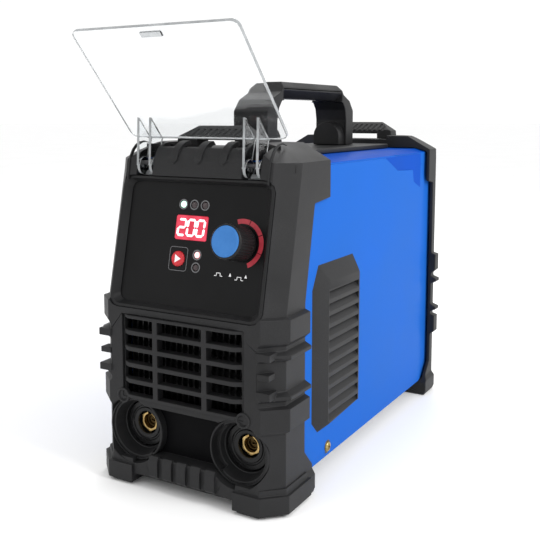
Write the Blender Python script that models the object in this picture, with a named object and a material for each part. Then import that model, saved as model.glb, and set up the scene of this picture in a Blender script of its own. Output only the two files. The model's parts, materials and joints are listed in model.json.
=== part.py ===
"""Stick welding inverter: a blue steel case between two moulded end bezels.

Sizes are in millimetres. Each mesh is made in millimetres, and finish turns it to metres. The
design frame has X to the right seen from the front, Y from the front face to the rear face, and
Z up from the floor. The empty "inverter" puts the middle of the whole box over the origin.
"""

import math

import bmesh
import bpy
from mathutils import Matrix, Vector

MM = 0.001
GAP = 0.3  # between faces that touch on the real object
WELD = 0.002  # points closer than this are one point

# Overall sizes
WIDTH = 153.0  # across the side faces of the bezels
LENGTH = 335.0  # front face to rear face

# Heights of the front, from the floor up
SHELL_BOTTOM = 14.8
SKIRT_BOTTOM = 8.0
SOCKET_HEIGHT = 40.5
GRILLE_BASE = 66.0
GRILLE_HEIGHT = 62.0
PANEL_GAP = 5.0  # from the grille's top to the panel recess
PANEL_HEIGHT = 95.0
HOOD_HEIGHT = 12.0  # from the panel recess to the top of the steel case
BEZEL_RISE = 12.0  # the bezels stand this far above the steel case
PANEL_BASE = GRILLE_BASE + GRILLE_HEIGHT + PANEL_GAP
PANEL_TOP = PANEL_BASE + PANEL_HEIGHT
SHELL_TOP = PANEL_TOP + HOOD_HEIGHT
SHELL_CREASE = SHELL_TOP - 3.0
BEZEL_TOP = SHELL_TOP + BEZEL_RISE

# Bezels
HALF = WIDTH / 2
CORNER = (14.0, 15.0)  # the upright corner chamfer, along X and along Y
TOP_FLAT_INSET = 22.5  # from the side face in to the top flat
TOP_CHAMFER_DROP = 12.6
LEAN = math.radians(12.4)  # the front above the grille leans back
LEAN_START = PANEL_BASE + 3.5
LEAN_END = PANEL_TOP + 4.5
NOSE_DEPTH = 17.0  # the round from the leaning front to the top
FOOT_INSIDE = 42.5  # the feet start this far from the middle
FRONT_SIDE_DEPTH = 43.0
FRONT_FOOT_DEPTH = 55.0
FRONT_TOP_DEPTH = 82.0
REAR_SIDE_DEPTH = 23.0
REAR_FOOT_DEPTH = 40.0
REAR_TOP_DEPTH = 35.0
REAR_NOSE = 9.0
BEZEL_WALL = 3.2
PANEL_WEB = 12.0  # thickness of the front behind the control panel
SOCKET_WEB = 24.0  # thickness of the front behind the sockets
# Corner grips: height, then how far they stand out
GRIPS = (
    (0.0, 1.0), (4.0, 2.5), (14.0, 2.5), (18.0, 0.0), (57.0, 0.0), (60.0, 4.0), (75.5, 4.0), (77.0, 0.0),
    (80.0, 0.0), (82.0, 5.0), (84.5, 5.0), (87.0, 0.0),
    (107.5, 0.0), (110.0, 5.0), (112.5, 5.0), (115.0, 0.0),
    (118.0, 0.0), (121.5, 4.0), (136.5, 4.0), (138.0, 0.0),
)

# Crest with its strap slot, on both bezels
CREST_HEIGHT = 13.0
FRONT_CREST_HALF = (21.0, 35.0)  # at its top and at its foot
REAR_CREST_HALF = (17.0, 32.0)
CREST_DEPTH = 15.0
CREST_LIP = 4.5
STRAP_SLOT = (33.0, 5.0)
STRAP_SINK = 3.5  # the slot starts this far below the bezel's top
FRONT_CREST_AT = 47.0
REAR_CREST_AT = 21.0  # from the rear face

# Grille
GRILLE_MARGIN = 24.5  # from the side face to the grille
GRILLE_PROUD = 2.0
GRILLE_FOLD = 7.0
GRILLE_THICK = 5.0
SLOT_ROWS = 5
SLOT_BARS = (-21.0, 21.0)
SLOT_HEIGHT = 8.7
SLOT_PITCH = 12.0
COLUMN_BAR = 4.3

# Control panel, in a frame that leans with the front: X, depth inwards, height along the front
PANEL_MARGIN = 11.5  # from the side face to the panel recess
PANEL_DEPTH = 7.0
PANEL_THICK = 2.0
PANEL_RADIUS = 8.0
PANEL_LEDGE = 5.0
DISPLAY_SIZE = (27.0, 17.5)
DISPLAY_AT = (-3.0, 58.2)
STATUS_LED_RADIUS = 2.4
STATUS_LEDS = ((-12.0, 74.8), (-2.6, 74.8), (6.6, 74.8))
MODE_LED_RADIUS = 2.2
MODE_LEDS = ((4.5, 39.4), (4.5, 30.5))
BUTTON_RADIUS = 5.5
BUTTON_AT = (-11.3, 35.5)
BUTTON_PROUD = 1.4
BUTTON_TRAVEL = 0.8
KNOB_INSET = 36.5  # from the side face to the knob's axis
KNOB_UP = 50.0
KNOB_RADIUS = 12.2
KNOB_LENGTH = 20.8
KNOB_CAP_RADIUS = 10.6
KNOB_CAP_THICK = 1.6
SHAFT_RADIUS = 2.5
BUSHING_RADIUS = 4.2
ENCODER_SIZE = (13.0, 6.5)

# Output sockets
SOCKET_INSET = 31.8  # from the side face to the socket's axis
SOCKET_MOUTH_RADIUS = 22.3
FLANGE_RADIUS = 17.8
FLANGE_AT = 18.0
FLANGE_THICK = 4.0
BARREL_RADIUS = 12.5
INSERT_RADIUS = 8.25
INSERT_AT = 21.5
INSERT_LENGTH = 26.0
INSERT_BORE = 5.8
INSERT_BORE_DEPTH = 22.0
STUD_RADIUS = 4.0
STUD_LENGTH = 12.0

# Clear cover, in its own frame on the hinge axis: X, outwards, away from the hinge
HINGE_AT = (25.0, SHELL_CREASE)
COVER_OPEN = math.radians(42.1)  # how far the open cover leans forward
COVER_CLOSES = 125.5  # degrees, down to parallel with the leaning front
COVER_WIDTH = 134.0
COVER_HEIGHT = 98.4
COVER_THICK = 3.0
COVER_STANDOFF = 20.9  # from the hinge axis to the middle of the plate
COVER_START = 6.7
COVER_RADIUS = 5.0
HINGE_INSET = 31.0  # from the side face to the middle of a hinge
HINGE_RIB = 2.2
HINGE_RIB_SPACING = 10.8
HINGE_EYE = 5.2
HINGE_TONGUE = 10.0
GUSSET_REACH = 28.0
PIN_RADIUS = 1.6
PIN_LENGTH = 19.0
PIN_CLEARANCE = 0.4
POCKET_RADIUS = 12.4
POCKET_SIDE_GAP = 0.8

# Steel case
SHEET = 1.2
SHELL_HALF = HALF - 3.5
EMBOSS = 1.8
TOP_CREASE_INSET = 11.0
VENT_FROM_FRONT = 57.3
VENT_LENGTH = 76.0
VENT_BASE = 39.0
VENT_HEIGHT = 126.0
VENT_PROUD = 7.0
VENT_FRONT_SLOPE = 15.5
VENT_END_SLOPE = 13.0
VENT_REAR_SLOPE = 5.0
VENT_SLATS = 11
SLAT_THICK = 3.6
SLAT_SLOPE = 1.25  # the slats fall outwards by this much for each millimetre
CASE_SCREW_AT = (85.6, 22.5)
CASE_SCREW_HEAD = 3.8
CASE_SCREW_SHANK = 2.0
PAN_FLANGE = 14.0

# Handle
HANDLE_FRONT_GAP = 15.0  # from the front bezel's top to the front leg
HANDLE_REAR_GAP = 42.0  # from the rear leg to the rear bezel's top
HANDLE_TOP = 46.5  # above the bezels
GRIP_THICK = 13.5
GRIP_HALF = 15.5
LEG_THICK = 16.0
SHOULDER_LENGTH = 28.0  # from the outside of a leg in to the grip's flat top
SHOULDER_DROP = 22.5  # from the grip's top down to the straight leg
LOBE_RADIUS = 13.0
LOBE_DEPTH = 11.0
BASE_PLATE_HALF = 38.0
BASE_PLATE_THICK = 4.0
HANDLE_SCREW_HEAD = 4.5

# Rear face
FAN_SIZE = 92.0
FAN_DEPTH = 25.0
FAN_HEIGHT = 158.0
FAN_BORE = 43.5
ROTOR_RADIUS = 42.0
HUB_RADIUS = 18.0
ROTOR_DEPTH = 16.0
BLADES = 7
BLADE_STATIONS = ((16.0, 50.0, 16.0), (30.0, 34.0, 21.0), (41.5, 26.0, 25.0))  # radius, pitch, chord
REAR_GRILLE_SIZE = 98.0
REAR_GRILLE_THICK = 3.0
REAR_SLOT_BARS = (-14.5, 14.5)
SWITCH_AT = (30.0, 62.0)
SWITCH_FACE = (21.0, 30.0)
SWITCH_BODY = (17.0, 25.0)
ROCKER_SIZE = (13.0, 21.0)
ROCKER_TILT = 10.0  # degrees either side of level
GLAND_AT = (-32.0, 55.0)
GLAND_RADIUS = 9.0
GLAND_BORE = 5.0

# Inside
BOARD_THICK = 1.6
BOARD_HALF = 62.0
BOARD_HEIGHT = 33.0
BOARD_FRONT = 72.0
BOARD_REAR_GAP = 75.0
STANDOFF_RADIUS = 3.5
CAPACITOR_RADIUS = 15.0
CAPACITOR_LENGTH = 45.0
CAPACITOR_PITCH = 33.0
HEATSINK_FINS = 7
HEATSINK_WIDTH = 42.0
HEATSINK_HEIGHT = 58.0
TRANSFORMER_WIDTH = 60.0
TRANSFORMER_HEIGHT = 46.0
TRANSFORMER_DEPTH = 24.0
TRANSFORMER_LEG = 9.0
WINDING_THICK = 8.0
PART_SPACING = 4.0


# ---------------------------------------------------------------------------------------------
# Making and placing meshes


def clear_scene():
    for obj in list(bpy.data.objects):
        bpy.data.objects.remove(obj, do_unlink=True)


def mesh_object(name, mesh_builder):
    """A new object made from a bmesh; both are in millimetres until the object is finished."""
    bmesh.ops.recalc_face_normals(mesh_builder, faces=mesh_builder.faces)
    mesh = bpy.data.meshes.new(name)
    mesh_builder.to_mesh(mesh)
    mesh_builder.free()
    obj = bpy.data.objects.new(name, mesh)
    bpy.context.scene.collection.objects.link(obj)
    return obj


def on_axis(axis, pair, along):
    """The point that has these two outline coordinates and lies this far along the axis."""
    a, b = pair
    return {"X": (along, a, b), "Y": (a, along, b), "Z": (a, b, along)}[axis]


def prism(name, outline, axis, low, high):
    """The outline, given in the plane across the axis, extruded from low to high."""
    shape = bmesh.new()
    ring = [shape.verts.new(on_axis(axis, pair, low)) for pair in outline]
    face = shape.faces.new(ring)
    made = bmesh.ops.extrude_face_region(shape, geom=[face])["geom"]
    moved = [item for item in made if isinstance(item, bmesh.types.BMVert)]
    step = Vector(on_axis(axis, (0, 0), high - low))
    bmesh.ops.translate(shape, vec=step, verts=moved)
    return mesh_object(name, shape)


def block(name, x, y, z):
    """A box between two values on each axis."""
    outline = [(x[0], y[0]), (x[1], y[0]), (x[1], y[1]), (x[0], y[1])]
    return prism(name, outline, "Z", z[0], z[1])


def loft(name, sections):
    """A solid through closed sections that all have the same number of points."""
    shape = bmesh.new()
    rings = [[shape.verts.new(point) for point in section] for section in sections]
    shape.faces.new(rings[0])
    shape.faces.new(rings[-1])
    for lower, upper in zip(rings, rings[1:]):
        for i in range(len(lower)):
            j = (i + 1) % len(lower)
            shape.faces.new((lower[i], lower[j], upper[j], upper[i]))
    return mesh_object(name, shape)


def turned(name, profile, axis, centre, segments=32, is_ring=False):
    """A profile of (radius, place along the axis) turned once round the axis."""
    shape = bmesh.new()
    verts = [shape.verts.new(on_axis(axis, (r, 0.0), along)) for r, along in profile]
    edges = [shape.edges.new(pair) for pair in zip(verts, verts[1:])]
    if is_ring:
        edges.append(shape.edges.new((verts[-1], verts[0])))
    direction = Vector(on_axis(axis, (0, 0), 1))
    bmesh.ops.spin(
        shape,
        geom=verts + edges,
        cent=(0, 0, 0),
        axis=direction,
        angle=math.tau,
        steps=segments,
        use_merge=True,
    )
    bmesh.ops.remove_doubles(shape, verts=shape.verts, dist=1e-4)
    bmesh.ops.translate(shape, vec=centre, verts=shape.verts)
    return mesh_object(name, shape)


def rod(name, axis, centre, radius, low, high, segments=24):
    """A solid cylinder; centre gives its place across the axis."""
    profile = [(0.0, low), (radius, low), (radius, high), (0.0, high)]
    return turned(name, profile, axis, on_axis(axis, centre, 0.0), segments)


def combine(target, tool, operation="DIFFERENCE"):
    """Cuts the tool from the target, or joins or intersects them, and removes the tool."""
    modifier = target.modifiers.new(operation.title(), "BOOLEAN")
    modifier.operation = operation
    modifier.object = tool
    graph = bpy.context.evaluated_depsgraph_get()
    mesh = bpy.data.meshes.new_from_object(target.evaluated_get(graph))
    target.modifiers.clear()
    target.data = mesh
    bpy.data.objects.remove(tool)
    weld(mesh)
    return target


def weld(mesh):
    """Closes the hairline edges that a cut leaves where faces nearly line up."""
    shape = bmesh.new()
    shape.from_mesh(mesh)
    bmesh.ops.remove_doubles(shape, verts=shape.verts, dist=WELD)
    bmesh.ops.dissolve_degenerate(shape, dist=WELD, edges=shape.edges)
    shape.to_mesh(mesh)
    shape.free()


def join(target, tool):
    return combine(target, tool, "UNION")


def move_mesh(obj, matrix):
    """Moves the mesh inside its object."""
    obj.data.transform(matrix)
    return obj


def rounded(half_a, half_b, radius, centre=(0.0, 0.0), steps=3):
    """A rectangle with round corners."""
    points = []
    corners = ((1, 1, 0), (-1, 1, 90), (-1, -1, 180), (1, -1, 270))
    for sign_a, sign_b, start in corners:
        mid_a = centre[0] + sign_a * (half_a - radius)
        mid_b = centre[1] + sign_b * (half_b - radius)
        for step in range(steps + 1):
            angle = math.radians(start + 90 * step / steps)
            points.append((mid_a + radius * math.cos(angle), mid_b + radius * math.sin(angle)))
    return points


def regular(radius, sides, centre=(0.0, 0.0), turn=0.0):
    """A regular polygon, by the radius of its corners."""
    angles = [turn + math.tau * i / sides for i in range(sides)]
    return [
        (centre[0] + radius * math.cos(a), centre[1] + radius * math.sin(a)) for a in angles
    ]


def mirrored_x(points):
    """The outline's right half followed by its mirror image, in order round the outline."""
    return list(points) + [(-a, b) for a, b in reversed(points)]


def material(name, colour, roughness, metallic=0.0, transmission=0.0, emission=0.0):
    made = bpy.data.materials.new(name)
    made.use_nodes = True
    shader = made.node_tree.nodes["Principled BSDF"]
    shader.inputs["Base Color"].default_value = (*colour, 1.0)
    shader.inputs["Roughness"].default_value = roughness
    shader.inputs["Metallic"].default_value = metallic
    shader.inputs["Transmission Weight"].default_value = transmission
    if emission:
        shader.inputs["Emission Color"].default_value = (*colour, 1.0)
        shader.inputs["Emission Strength"].default_value = emission
    made.diffuse_color = (*colour, 1.0)
    return made


def finish(obj, surface, parent, smooth_angle=None):
    """Turns the mesh to metres, gives it its material and parent, and shades round surfaces."""
    obj.data.transform(Matrix.Scale(MM, 4))
    obj.data.materials.clear()
    obj.data.materials.append(surface)
    for face in obj.data.polygons:
        face.material_index = 0
    if smooth_angle:
        obj.data.shade_smooth()
        obj.data.set_sharp_from_angle(angle=math.radians(smooth_angle))
    obj.parent = parent
    return obj


def empty(name, place=(0.0, 0.0, 0.0), turn_x=0.0, parent=None):
    """A frame that other objects are parented to, placed in millimetres."""
    frame = bpy.data.objects.new(name, None)
    bpy.context.scene.collection.objects.link(frame)
    frame.location = Vector(place) * MM
    frame.rotation_euler = (turn_x, 0.0, 0.0)
    frame.parent = parent
    return frame


def value_at(z, points):
    """Straight-line interpolation in a list of (height, value)."""
    if z <= points[0][0]:
        return points[0][1]
    for (low, first), (high, second) in zip(points, points[1:]):
        if z <= high:
            return first + (second - first) * (z - low) / (high - low)
    return points[-1][1]


# ---------------------------------------------------------------------------------------------
# Bezels


def front_face(z):
    """Y of the front bezel's middle front face at this height."""
    if z <= LEAN_START:
        return 0.0
    if z <= LEAN_END:
        return (z - LEAN_START) * math.tan(LEAN)
    start = (LEAN_END - LEAN_START) * math.tan(LEAN)
    up = (z - LEAN_END) / (BEZEL_TOP - LEAN_END)
    return start + NOSE_DEPTH * (1 - math.sqrt(max(0.0, 1 - up * up)))


def rear_face(z):
    """Y of the rear bezel's middle rear face at this height."""
    up = max(0.0, (z - LEAN_END) / (BEZEL_TOP - LEAN_END))
    return LENGTH - REAR_NOSE * (1 - math.sqrt(max(0.0, 1 - up * up)))


def front_edge_back(z):
    """Y of the front bezel's rear edge at this height."""
    step = PANEL_TOP - 18.0
    return value_at(
        z,
        (
            (21.0, FRONT_FOOT_DEPTH), (34.0, FRONT_SIDE_DEPTH), (LEAN_START + 5.5, FRONT_SIDE_DEPTH),
            (step, FRONT_SIDE_DEPTH + 14.0), (step + 2.5, FRONT_TOP_DEPTH),
        ),
    )


def rear_edge_front(z):
    """Y of the rear bezel's front edge at this height."""
    step = PANEL_TOP - 21.0
    return LENGTH - value_at(
        z,
        (
            (12.0, REAR_FOOT_DEPTH), (30.0, REAR_SIDE_DEPTH), (step, REAR_SIDE_DEPTH),
            (step + 2.5, REAR_TOP_DEPTH),
        ),
    )


def half_width(z):
    """Half the bezel's width at this height, without its grips."""
    start = BEZEL_TOP - TOP_CHAMFER_DROP
    return value_at(z, ((start, HALF), (BEZEL_TOP, HALF - TOP_FLAT_INSET)))


def bezel_section(z, face, edge, towards):
    """One level section; face and edge are Y of the outer face and of the open edge."""
    half = half_width(z)
    grip = value_at(z, GRIPS)
    right = [
        (half - CORNER[0] + grip * 0.6, face),
        (half + grip, face + towards * (CORNER[1] - grip * 0.4)),
        (half + grip, edge),
    ]
    left = [(-x, y) for x, y in reversed(right)]
    return [(x, y, z) for x, y in right + left]


def bezel_body(name, face_at, edge_at, towards, stations):
    sections = [bezel_section(z, face_at(z), edge_at(z), towards) for z in stations]
    return loft(name, sections)


def bezel_stations(steps):
    """Every height where a bezel's outline changes."""
    span = BEZEL_TOP - LEAN_END
    nose = [LEAN_END + span * math.sin(math.radians(a)) for a in (0, 22, 42, 60, 75, 90)]
    heights = [0.0, LEAN_START, BEZEL_TOP - TOP_CHAMFER_DROP] + nose + list(steps)
    heights += [z for z, _ in GRIPS]
    heights.sort()
    kept = [heights[0]]
    for z in heights[1:]:
        if z - kept[-1] > 0.6:
            kept.append(z)
    kept[-1] = BEZEL_TOP
    return kept


def cut_between_feet(bezel, low, high):
    opening = [
        (-FOOT_INSIDE - 4, -1), (FOOT_INSIDE + 4, -1),
        (FOOT_INSIDE, SKIRT_BOTTOM), (-FOOT_INSIDE, SKIRT_BOTTOM),
    ]
    combine(bezel, prism("between_feet", opening, "Y", low, high))


def shell_pocket(bezel, low, high):
    """The room that the end of the steel case takes inside a bezel."""
    outline = mirrored_x(
        [
            (SHELL_HALF + GAP, SHELL_BOTTOM - GAP),
            (SHELL_HALF + GAP, SHELL_CREASE + GAP),
            (SHELL_HALF - TOP_CREASE_INSET, SHELL_TOP + GAP),
        ]
    )
    combine(bezel, prism("shell_pocket", outline, "Y", low, high))


def sink_for_crest(bezel, lip_y, halves):
    """Lowers the bezel's top, so that a strap can run in and out under the crest."""
    half = halves[1] + GAP
    sink = BEZEL_TOP - STRAP_SINK
    combine(bezel, block("sink", (-half, half), (lip_y - 60.0, lip_y + 80.0), (sink, BEZEL_TOP + 5)))


def make_crest(name, lip_y, halves, black, root):
    """A raised bar with a slot under it for a carrying strap."""
    top_half, foot_half = halves
    back_y = lip_y + CREST_DEPTH
    top = BEZEL_TOP + CREST_HEIGHT
    foot = BEZEL_TOP - STRAP_SINK + GAP
    lip = BEZEL_TOP + CREST_LIP
    across = mirrored_x([(foot_half, foot), (foot_half - 1.0, lip), (top_half, top)])
    bar = prism(name, across, "Y", lip_y, back_y)
    slope = [(lip_y - 1.0, lip), (lip_y + CREST_DEPTH * 0.7, top + 0.01), (lip_y - 1.0, top + 0.01)]
    combine(bar, prism("slope", slope, "X", -foot_half - 1, foot_half + 1))
    half = STRAP_SLOT[0] / 2
    slot_top = BEZEL_TOP - STRAP_SINK + STRAP_SLOT[1]
    combine(bar, block("slot", (-half, half), (lip_y - 1.0, back_y + 1.0), (foot - 1.0, slot_top)))
    return finish(bar, black, root)


def socket_places():
    return (("left", -(HALF - SOCKET_INSET)), ("right", HALF - SOCKET_INSET))


def hinge_places():
    return (("left", -(HALF - HINGE_INSET)), ("right", HALF - HINGE_INSET))


def panel_outline(grow=0.0):
    """The panel's outline in the leaning frame: X and height along the front."""
    half = HALF - PANEL_MARGIN
    height = PANEL_HEIGHT / math.cos(LEAN)
    centre = (0.0, height / 2 + (PANEL_BASE - LEAN_START) / math.cos(LEAN))
    return rounded(half + grow, height / 2 + grow, PANEL_RADIUS + grow, centre)


def to_front():
    """Turns and moves a mesh from the leaning frame to the design frame."""
    return Matrix.Translation((0.0, 0.0, LEAN_START)) @ Matrix.Rotation(-LEAN, 4, "X")


def leaning_prism(name, outline, low, high):
    return move_mesh(prism(name, outline, "Y", low, high), to_front())


def front_cavity():
    """The hollow of the front bezel ahead of the steel case."""
    half = SHELL_HALF - 3.0
    back = FRONT_SIDE_DEPTH - 8.0
    ledge = GRILLE_BASE - 2.0
    web_start = PANEL_BASE - 4.0
    lean_offset = PANEL_WEB / math.cos(LEAN)
    top = PANEL_TOP - 4.0
    stations = (
        (SHELL_BOTTOM + 3.0, SOCKET_WEB), (ledge, SOCKET_WEB), (ledge + 0.5, BEZEL_WALL),
        (web_start, BEZEL_WALL), (web_start + 0.5, PANEL_WEB),
        (LEAN_START, front_face(LEAN_START) + lean_offset), (top, front_face(top) + lean_offset),
    )
    sections = []
    for z, y in stations:
        near = y if y > CORNER[1] * 0.75 else CORNER[1] + 1.0
        right = [(half - CORNER[0], y), (half, near), (half, back + FRONT_TOP_DEPTH)]
        left = [(-x, depth) for x, depth in reversed(right)]
        sections.append([(x, depth, z) for x, depth in right + left])
    return loft("front_cavity", sections)


def make_front_bezel(black, root):
    steps = (21.0, 34.0, LEAN_START + 5.5, PANEL_TOP - 18.0, PANEL_TOP - 15.5)
    bezel = bezel_body("front_bezel", front_face, front_edge_back, 1, bezel_stations(steps))
    combine(bezel, front_cavity())
    shell_pocket(bezel, FRONT_SIDE_DEPTH - 10.0 - GAP, LENGTH)
    cut_between_feet(bezel, -1.0, FRONT_TOP_DEPTH)
    sink_for_crest(bezel, FRONT_CREST_AT, FRONT_CREST_HALF)
    make_crest("front_crest", FRONT_CREST_AT, FRONT_CREST_HALF, black, root)

    # Grille opening, and the panel recess with the opening in its floor
    grille_half = HALF - GRILLE_MARGIN
    combine(bezel, block("grille_hole", (-grille_half, grille_half), (-1, 12),
                         (GRILLE_BASE, GRILLE_BASE + GRILLE_HEIGHT)))
    floor = PANEL_DEPTH + PANEL_THICK + GAP
    combine(bezel, leaning_prism("recess", panel_outline(), -20.0, floor))
    combine(bezel, leaning_prism("recess_floor", panel_outline(-PANEL_LEDGE), 0.0, 40.0))

    # Round mouths for the sockets, and the sunk field between them
    seat = FLANGE_AT + FLANGE_THICK + GAP
    for side, x in socket_places():
        mouth = [
            (0.0, -1.0), (SOCKET_MOUTH_RADIUS + 0.2, -1.0), (FLANGE_RADIUS + GAP + 0.4, FLANGE_AT - 1.5),
            (FLANGE_RADIUS + GAP, FLANGE_AT - 1.5), (FLANGE_RADIUS + GAP, seat), (0.0, seat),
        ]
        combine(bezel, turned("mouth_" + side, mouth, "Y", (x, 0.0, SOCKET_HEIGHT), 36))
        combine(bezel, rod("barrel_hole", "Y", (x, SOCKET_HEIGHT), BARREL_RADIUS + GAP, 0, 40))
    field_half = HALF - SOCKET_INSET - SOCKET_MOUTH_RADIUS - 2.4
    field = rounded(field_half, 18.5, 3.0, (0.0, SOCKET_HEIGHT + 2.5))
    combine(bezel, prism("field", field, "Y", -1.0, 12.0))

    # Hinge pockets with the pins' holes
    y, z = HINGE_AT
    pocket_half = HINGE_RIB_SPACING / 2 + HINGE_RIB / 2 + POCKET_SIDE_GAP
    for side, x in hinge_places():
        span = (x - pocket_half, x + pocket_half)
        combine(bezel, rod("pocket", "X", HINGE_AT, POCKET_RADIUS, *span, 28))
        combine(bezel, block("pocket_top", span, (y - POCKET_RADIUS, y + 17.0), (z, z + 30.0)))
        combine(bezel, rod("pin_hole", "X", HINGE_AT, PIN_RADIUS + GAP,
                           x - PIN_LENGTH / 2 - GAP, x + PIN_LENGTH / 2 + GAP, 12))
    return finish(bezel, black, root)


def make_front_grille(black, root):
    half = HALF - GRILLE_MARGIN - GAP
    base = GRILLE_BASE + GAP
    top = GRILLE_BASE + GRILLE_HEIGHT - GAP
    outline = mirrored_x(
        [(half, GRILLE_THICK), (half, GRILLE_PROUD), (half - GRILLE_FOLD, -GRILLE_PROUD)]
    )
    grille = prism("front_grille", outline, "Z", base, top)
    slots_half = half - GRILLE_FOLD
    cut_slots(grille, slots_half, (base + top) / 2, SLOT_ROWS, SLOT_BARS, (-10.0, 20.0))
    return finish(grille, black, root)


def cut_slots(grille, slots_half, middle, rows, bars, through):
    """Rows of level slots cut along Y, divided by upright bars at the given places."""
    lefts = [-slots_half] + [bar + COLUMN_BAR / 2 for bar in bars]
    rights = [bar - COLUMN_BAR / 2 for bar in bars] + [slots_half]
    for row in range(rows):
        centre = middle + (row - (rows - 1) / 2) * SLOT_PITCH
        for span in zip(lefts, rights):
            slot = block("slot", span, through, (centre - SLOT_HEIGHT / 2, centre + SLOT_HEIGHT / 2))
            combine(grille, slot)


# ---------------------------------------------------------------------------------------------
# Control panel: everything here is made in the leaning frame


def make_panel(panel_black, frame):
    panel = prism("control_panel", panel_outline(-GAP), "Y", PANEL_DEPTH, PANEL_DEPTH + PANEL_THICK)
    through = (PANEL_DEPTH - 1, PANEL_DEPTH + PANEL_THICK + 1)
    window = rounded(DISPLAY_SIZE[0] / 2 + GAP, DISPLAY_SIZE[1] / 2 + GAP, 1.0, DISPLAY_AT, 1)
    combine(panel, prism("window", window, "Y", *through))
    for place in STATUS_LEDS:
        combine(panel, rod("lamp", "Y", place, STATUS_LED_RADIUS + GAP, *through, 16))
    for place in MODE_LEDS:
        combine(panel, rod("lamp", "Y", place, MODE_LED_RADIUS + GAP, *through, 16))
    combine(panel, rod("button_hole", "Y", BUTTON_AT, BUTTON_RADIUS + GAP, *through))
    combine(panel, rod("bushing_hole", "Y", knob_place(), BUSHING_RADIUS + GAP, *through))
    return finish(panel, panel_black, frame)


def knob_place():
    return (HALF - KNOB_INSET, KNOB_UP)


def make_display(red, frame):
    outline = rounded(DISPLAY_SIZE[0] / 2, DISPLAY_SIZE[1] / 2, 1.0, DISPLAY_AT, 1)
    display = prism("display_window", outline, "Y", PANEL_DEPTH - 0.3, PANEL_DEPTH + 3.5)
    return finish(display, red, frame)


def make_lamps(lit_green, clear_grey, lit_red, frame):
    back = PANEL_DEPTH + 4.0
    lamps = [("status_lamp_%d" % (i + 1), place, STATUS_LED_RADIUS)
             for i, place in enumerate(STATUS_LEDS)]
    lamps += [("mode_lamp_%d" % (i + 1), place, MODE_LED_RADIUS)
              for i, place in enumerate(MODE_LEDS)]
    surfaces = (lit_green, clear_grey, clear_grey, lit_red, clear_grey)
    for (name, place, radius), surface in zip(lamps, surfaces):
        profile = [
            (0.0, PANEL_DEPTH - 0.9), (radius * 0.7, PANEL_DEPTH - 0.6), (radius, PANEL_DEPTH),
            (radius, back), (0.0, back),
        ]
        lamp = turned(name, profile, "Y", (place[0], 0.0, place[1]), 16)
        finish(lamp, surface, frame, 40)


def make_button(red, frame):
    """The mode key: its origin is on its own travel axis, and a flange keeps it in the panel."""
    pivot = empty("mode_button_travel", (BUTTON_AT[0], 0.0, BUTTON_AT[1]), parent=frame)
    front = PANEL_DEPTH - BUTTON_PROUD
    flange = PANEL_DEPTH + PANEL_THICK + GAP
    profile = [
        (0.0, front), (BUTTON_RADIUS - 0.8, front), (BUTTON_RADIUS, front + 0.8),
        (BUTTON_RADIUS, flange), (BUTTON_RADIUS + 1.2, flange), (BUTTON_RADIUS + 1.2, flange + 1.2),
        (2.0, flange + 1.2), (2.0, flange + 3.0), (0.0, flange + 3.0),
    ]
    button = turned("mode_button", profile, "Y", (0.0, 0.0, 0.0), 24)
    return finish(button, red, pivot, 40)


def make_knob(black, blue, steel, zinc, frame):
    """Knob, cap and shaft turn together; the encoder that they turn in is fixed."""
    x, up = knob_place()
    pivot = empty("knob_axis", (x, 0.0, up), parent=frame)
    back = PANEL_DEPTH - 0.6
    front = back - KNOB_LENGTH
    seat = front + KNOB_CAP_THICK
    sink = front + 12.0
    bore = SHAFT_RADIUS + GAP
    profile = [
        (KNOB_CAP_RADIUS + GAP, seat), (KNOB_CAP_RADIUS + GAP, front + 0.6),
        (KNOB_CAP_RADIUS + 0.6, front), (KNOB_RADIUS - 0.6, front + 0.3), (KNOB_RADIUS, front + 1.2),
        (KNOB_RADIUS, back), (KNOB_RADIUS - 2.5, back), (KNOB_RADIUS - 2.5, back - 3.0),
        (bore, back - 3.0), (bore, sink), (0.0, sink),
    ]
    knob = turned("control_knob", [(0.0, seat)] + profile, "Y", (0.0, 0.0, 0.0), 40)
    finish(knob, black, pivot, 30)

    cap_profile = [
        (0.0, front - 0.4), (KNOB_CAP_RADIUS - 1.2, front - 0.4), (KNOB_CAP_RADIUS, front + 0.3),
        (KNOB_CAP_RADIUS, seat - GAP), (0.0, seat - GAP),
    ]
    finish(turned("knob_cap", cap_profile, "Y", (0.0, 0.0, 0.0), 32), blue, pivot, 30)

    body_front = PANEL_DEPTH + PANEL_THICK + GAP
    body_back = body_front + ENCODER_SIZE[1]
    shaft = rod("encoder_shaft", "Y", (0.0, 0.0), SHAFT_RADIUS, sink + GAP, body_back - 1.5, 16)
    flat = block("shaft_flat", (-4, 4), (sink - 1, back - 3.5), (SHAFT_RADIUS * 0.6, 4))
    combine(shaft, flat)
    finish(shaft, steel, pivot, 40)

    half = ENCODER_SIZE[0] / 2
    encoder = block("encoder", (x - half, x + half), (body_front, body_back), (up - half, up + half))
    join(encoder, rod("bushing", "Y", (x, up), BUSHING_RADIUS, PANEL_DEPTH - 0.2, body_front + 1, 24))
    bore_cut = rod("bore", "Y", (x, up), SHAFT_RADIUS + GAP, PANEL_DEPTH - 1, body_back - 1.2, 16)
    combine(encoder, bore_cut)
    return finish(encoder, zinc, frame)


def make_control_board(green, frame):
    front = PANEL_DEPTH + PANEL_THICK + GAP + ENCODER_SIZE[1] + GAP
    outline = rounded(HALF - PANEL_MARGIN - PANEL_LEDGE - 8.0, 36.0, 2.0, (0.0, 46.0), 1)
    board = prism("control_board", outline, "Y", front, front + BOARD_THICK)
    return finish(board, green, frame)


# ---------------------------------------------------------------------------------------------
# Sockets


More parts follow.
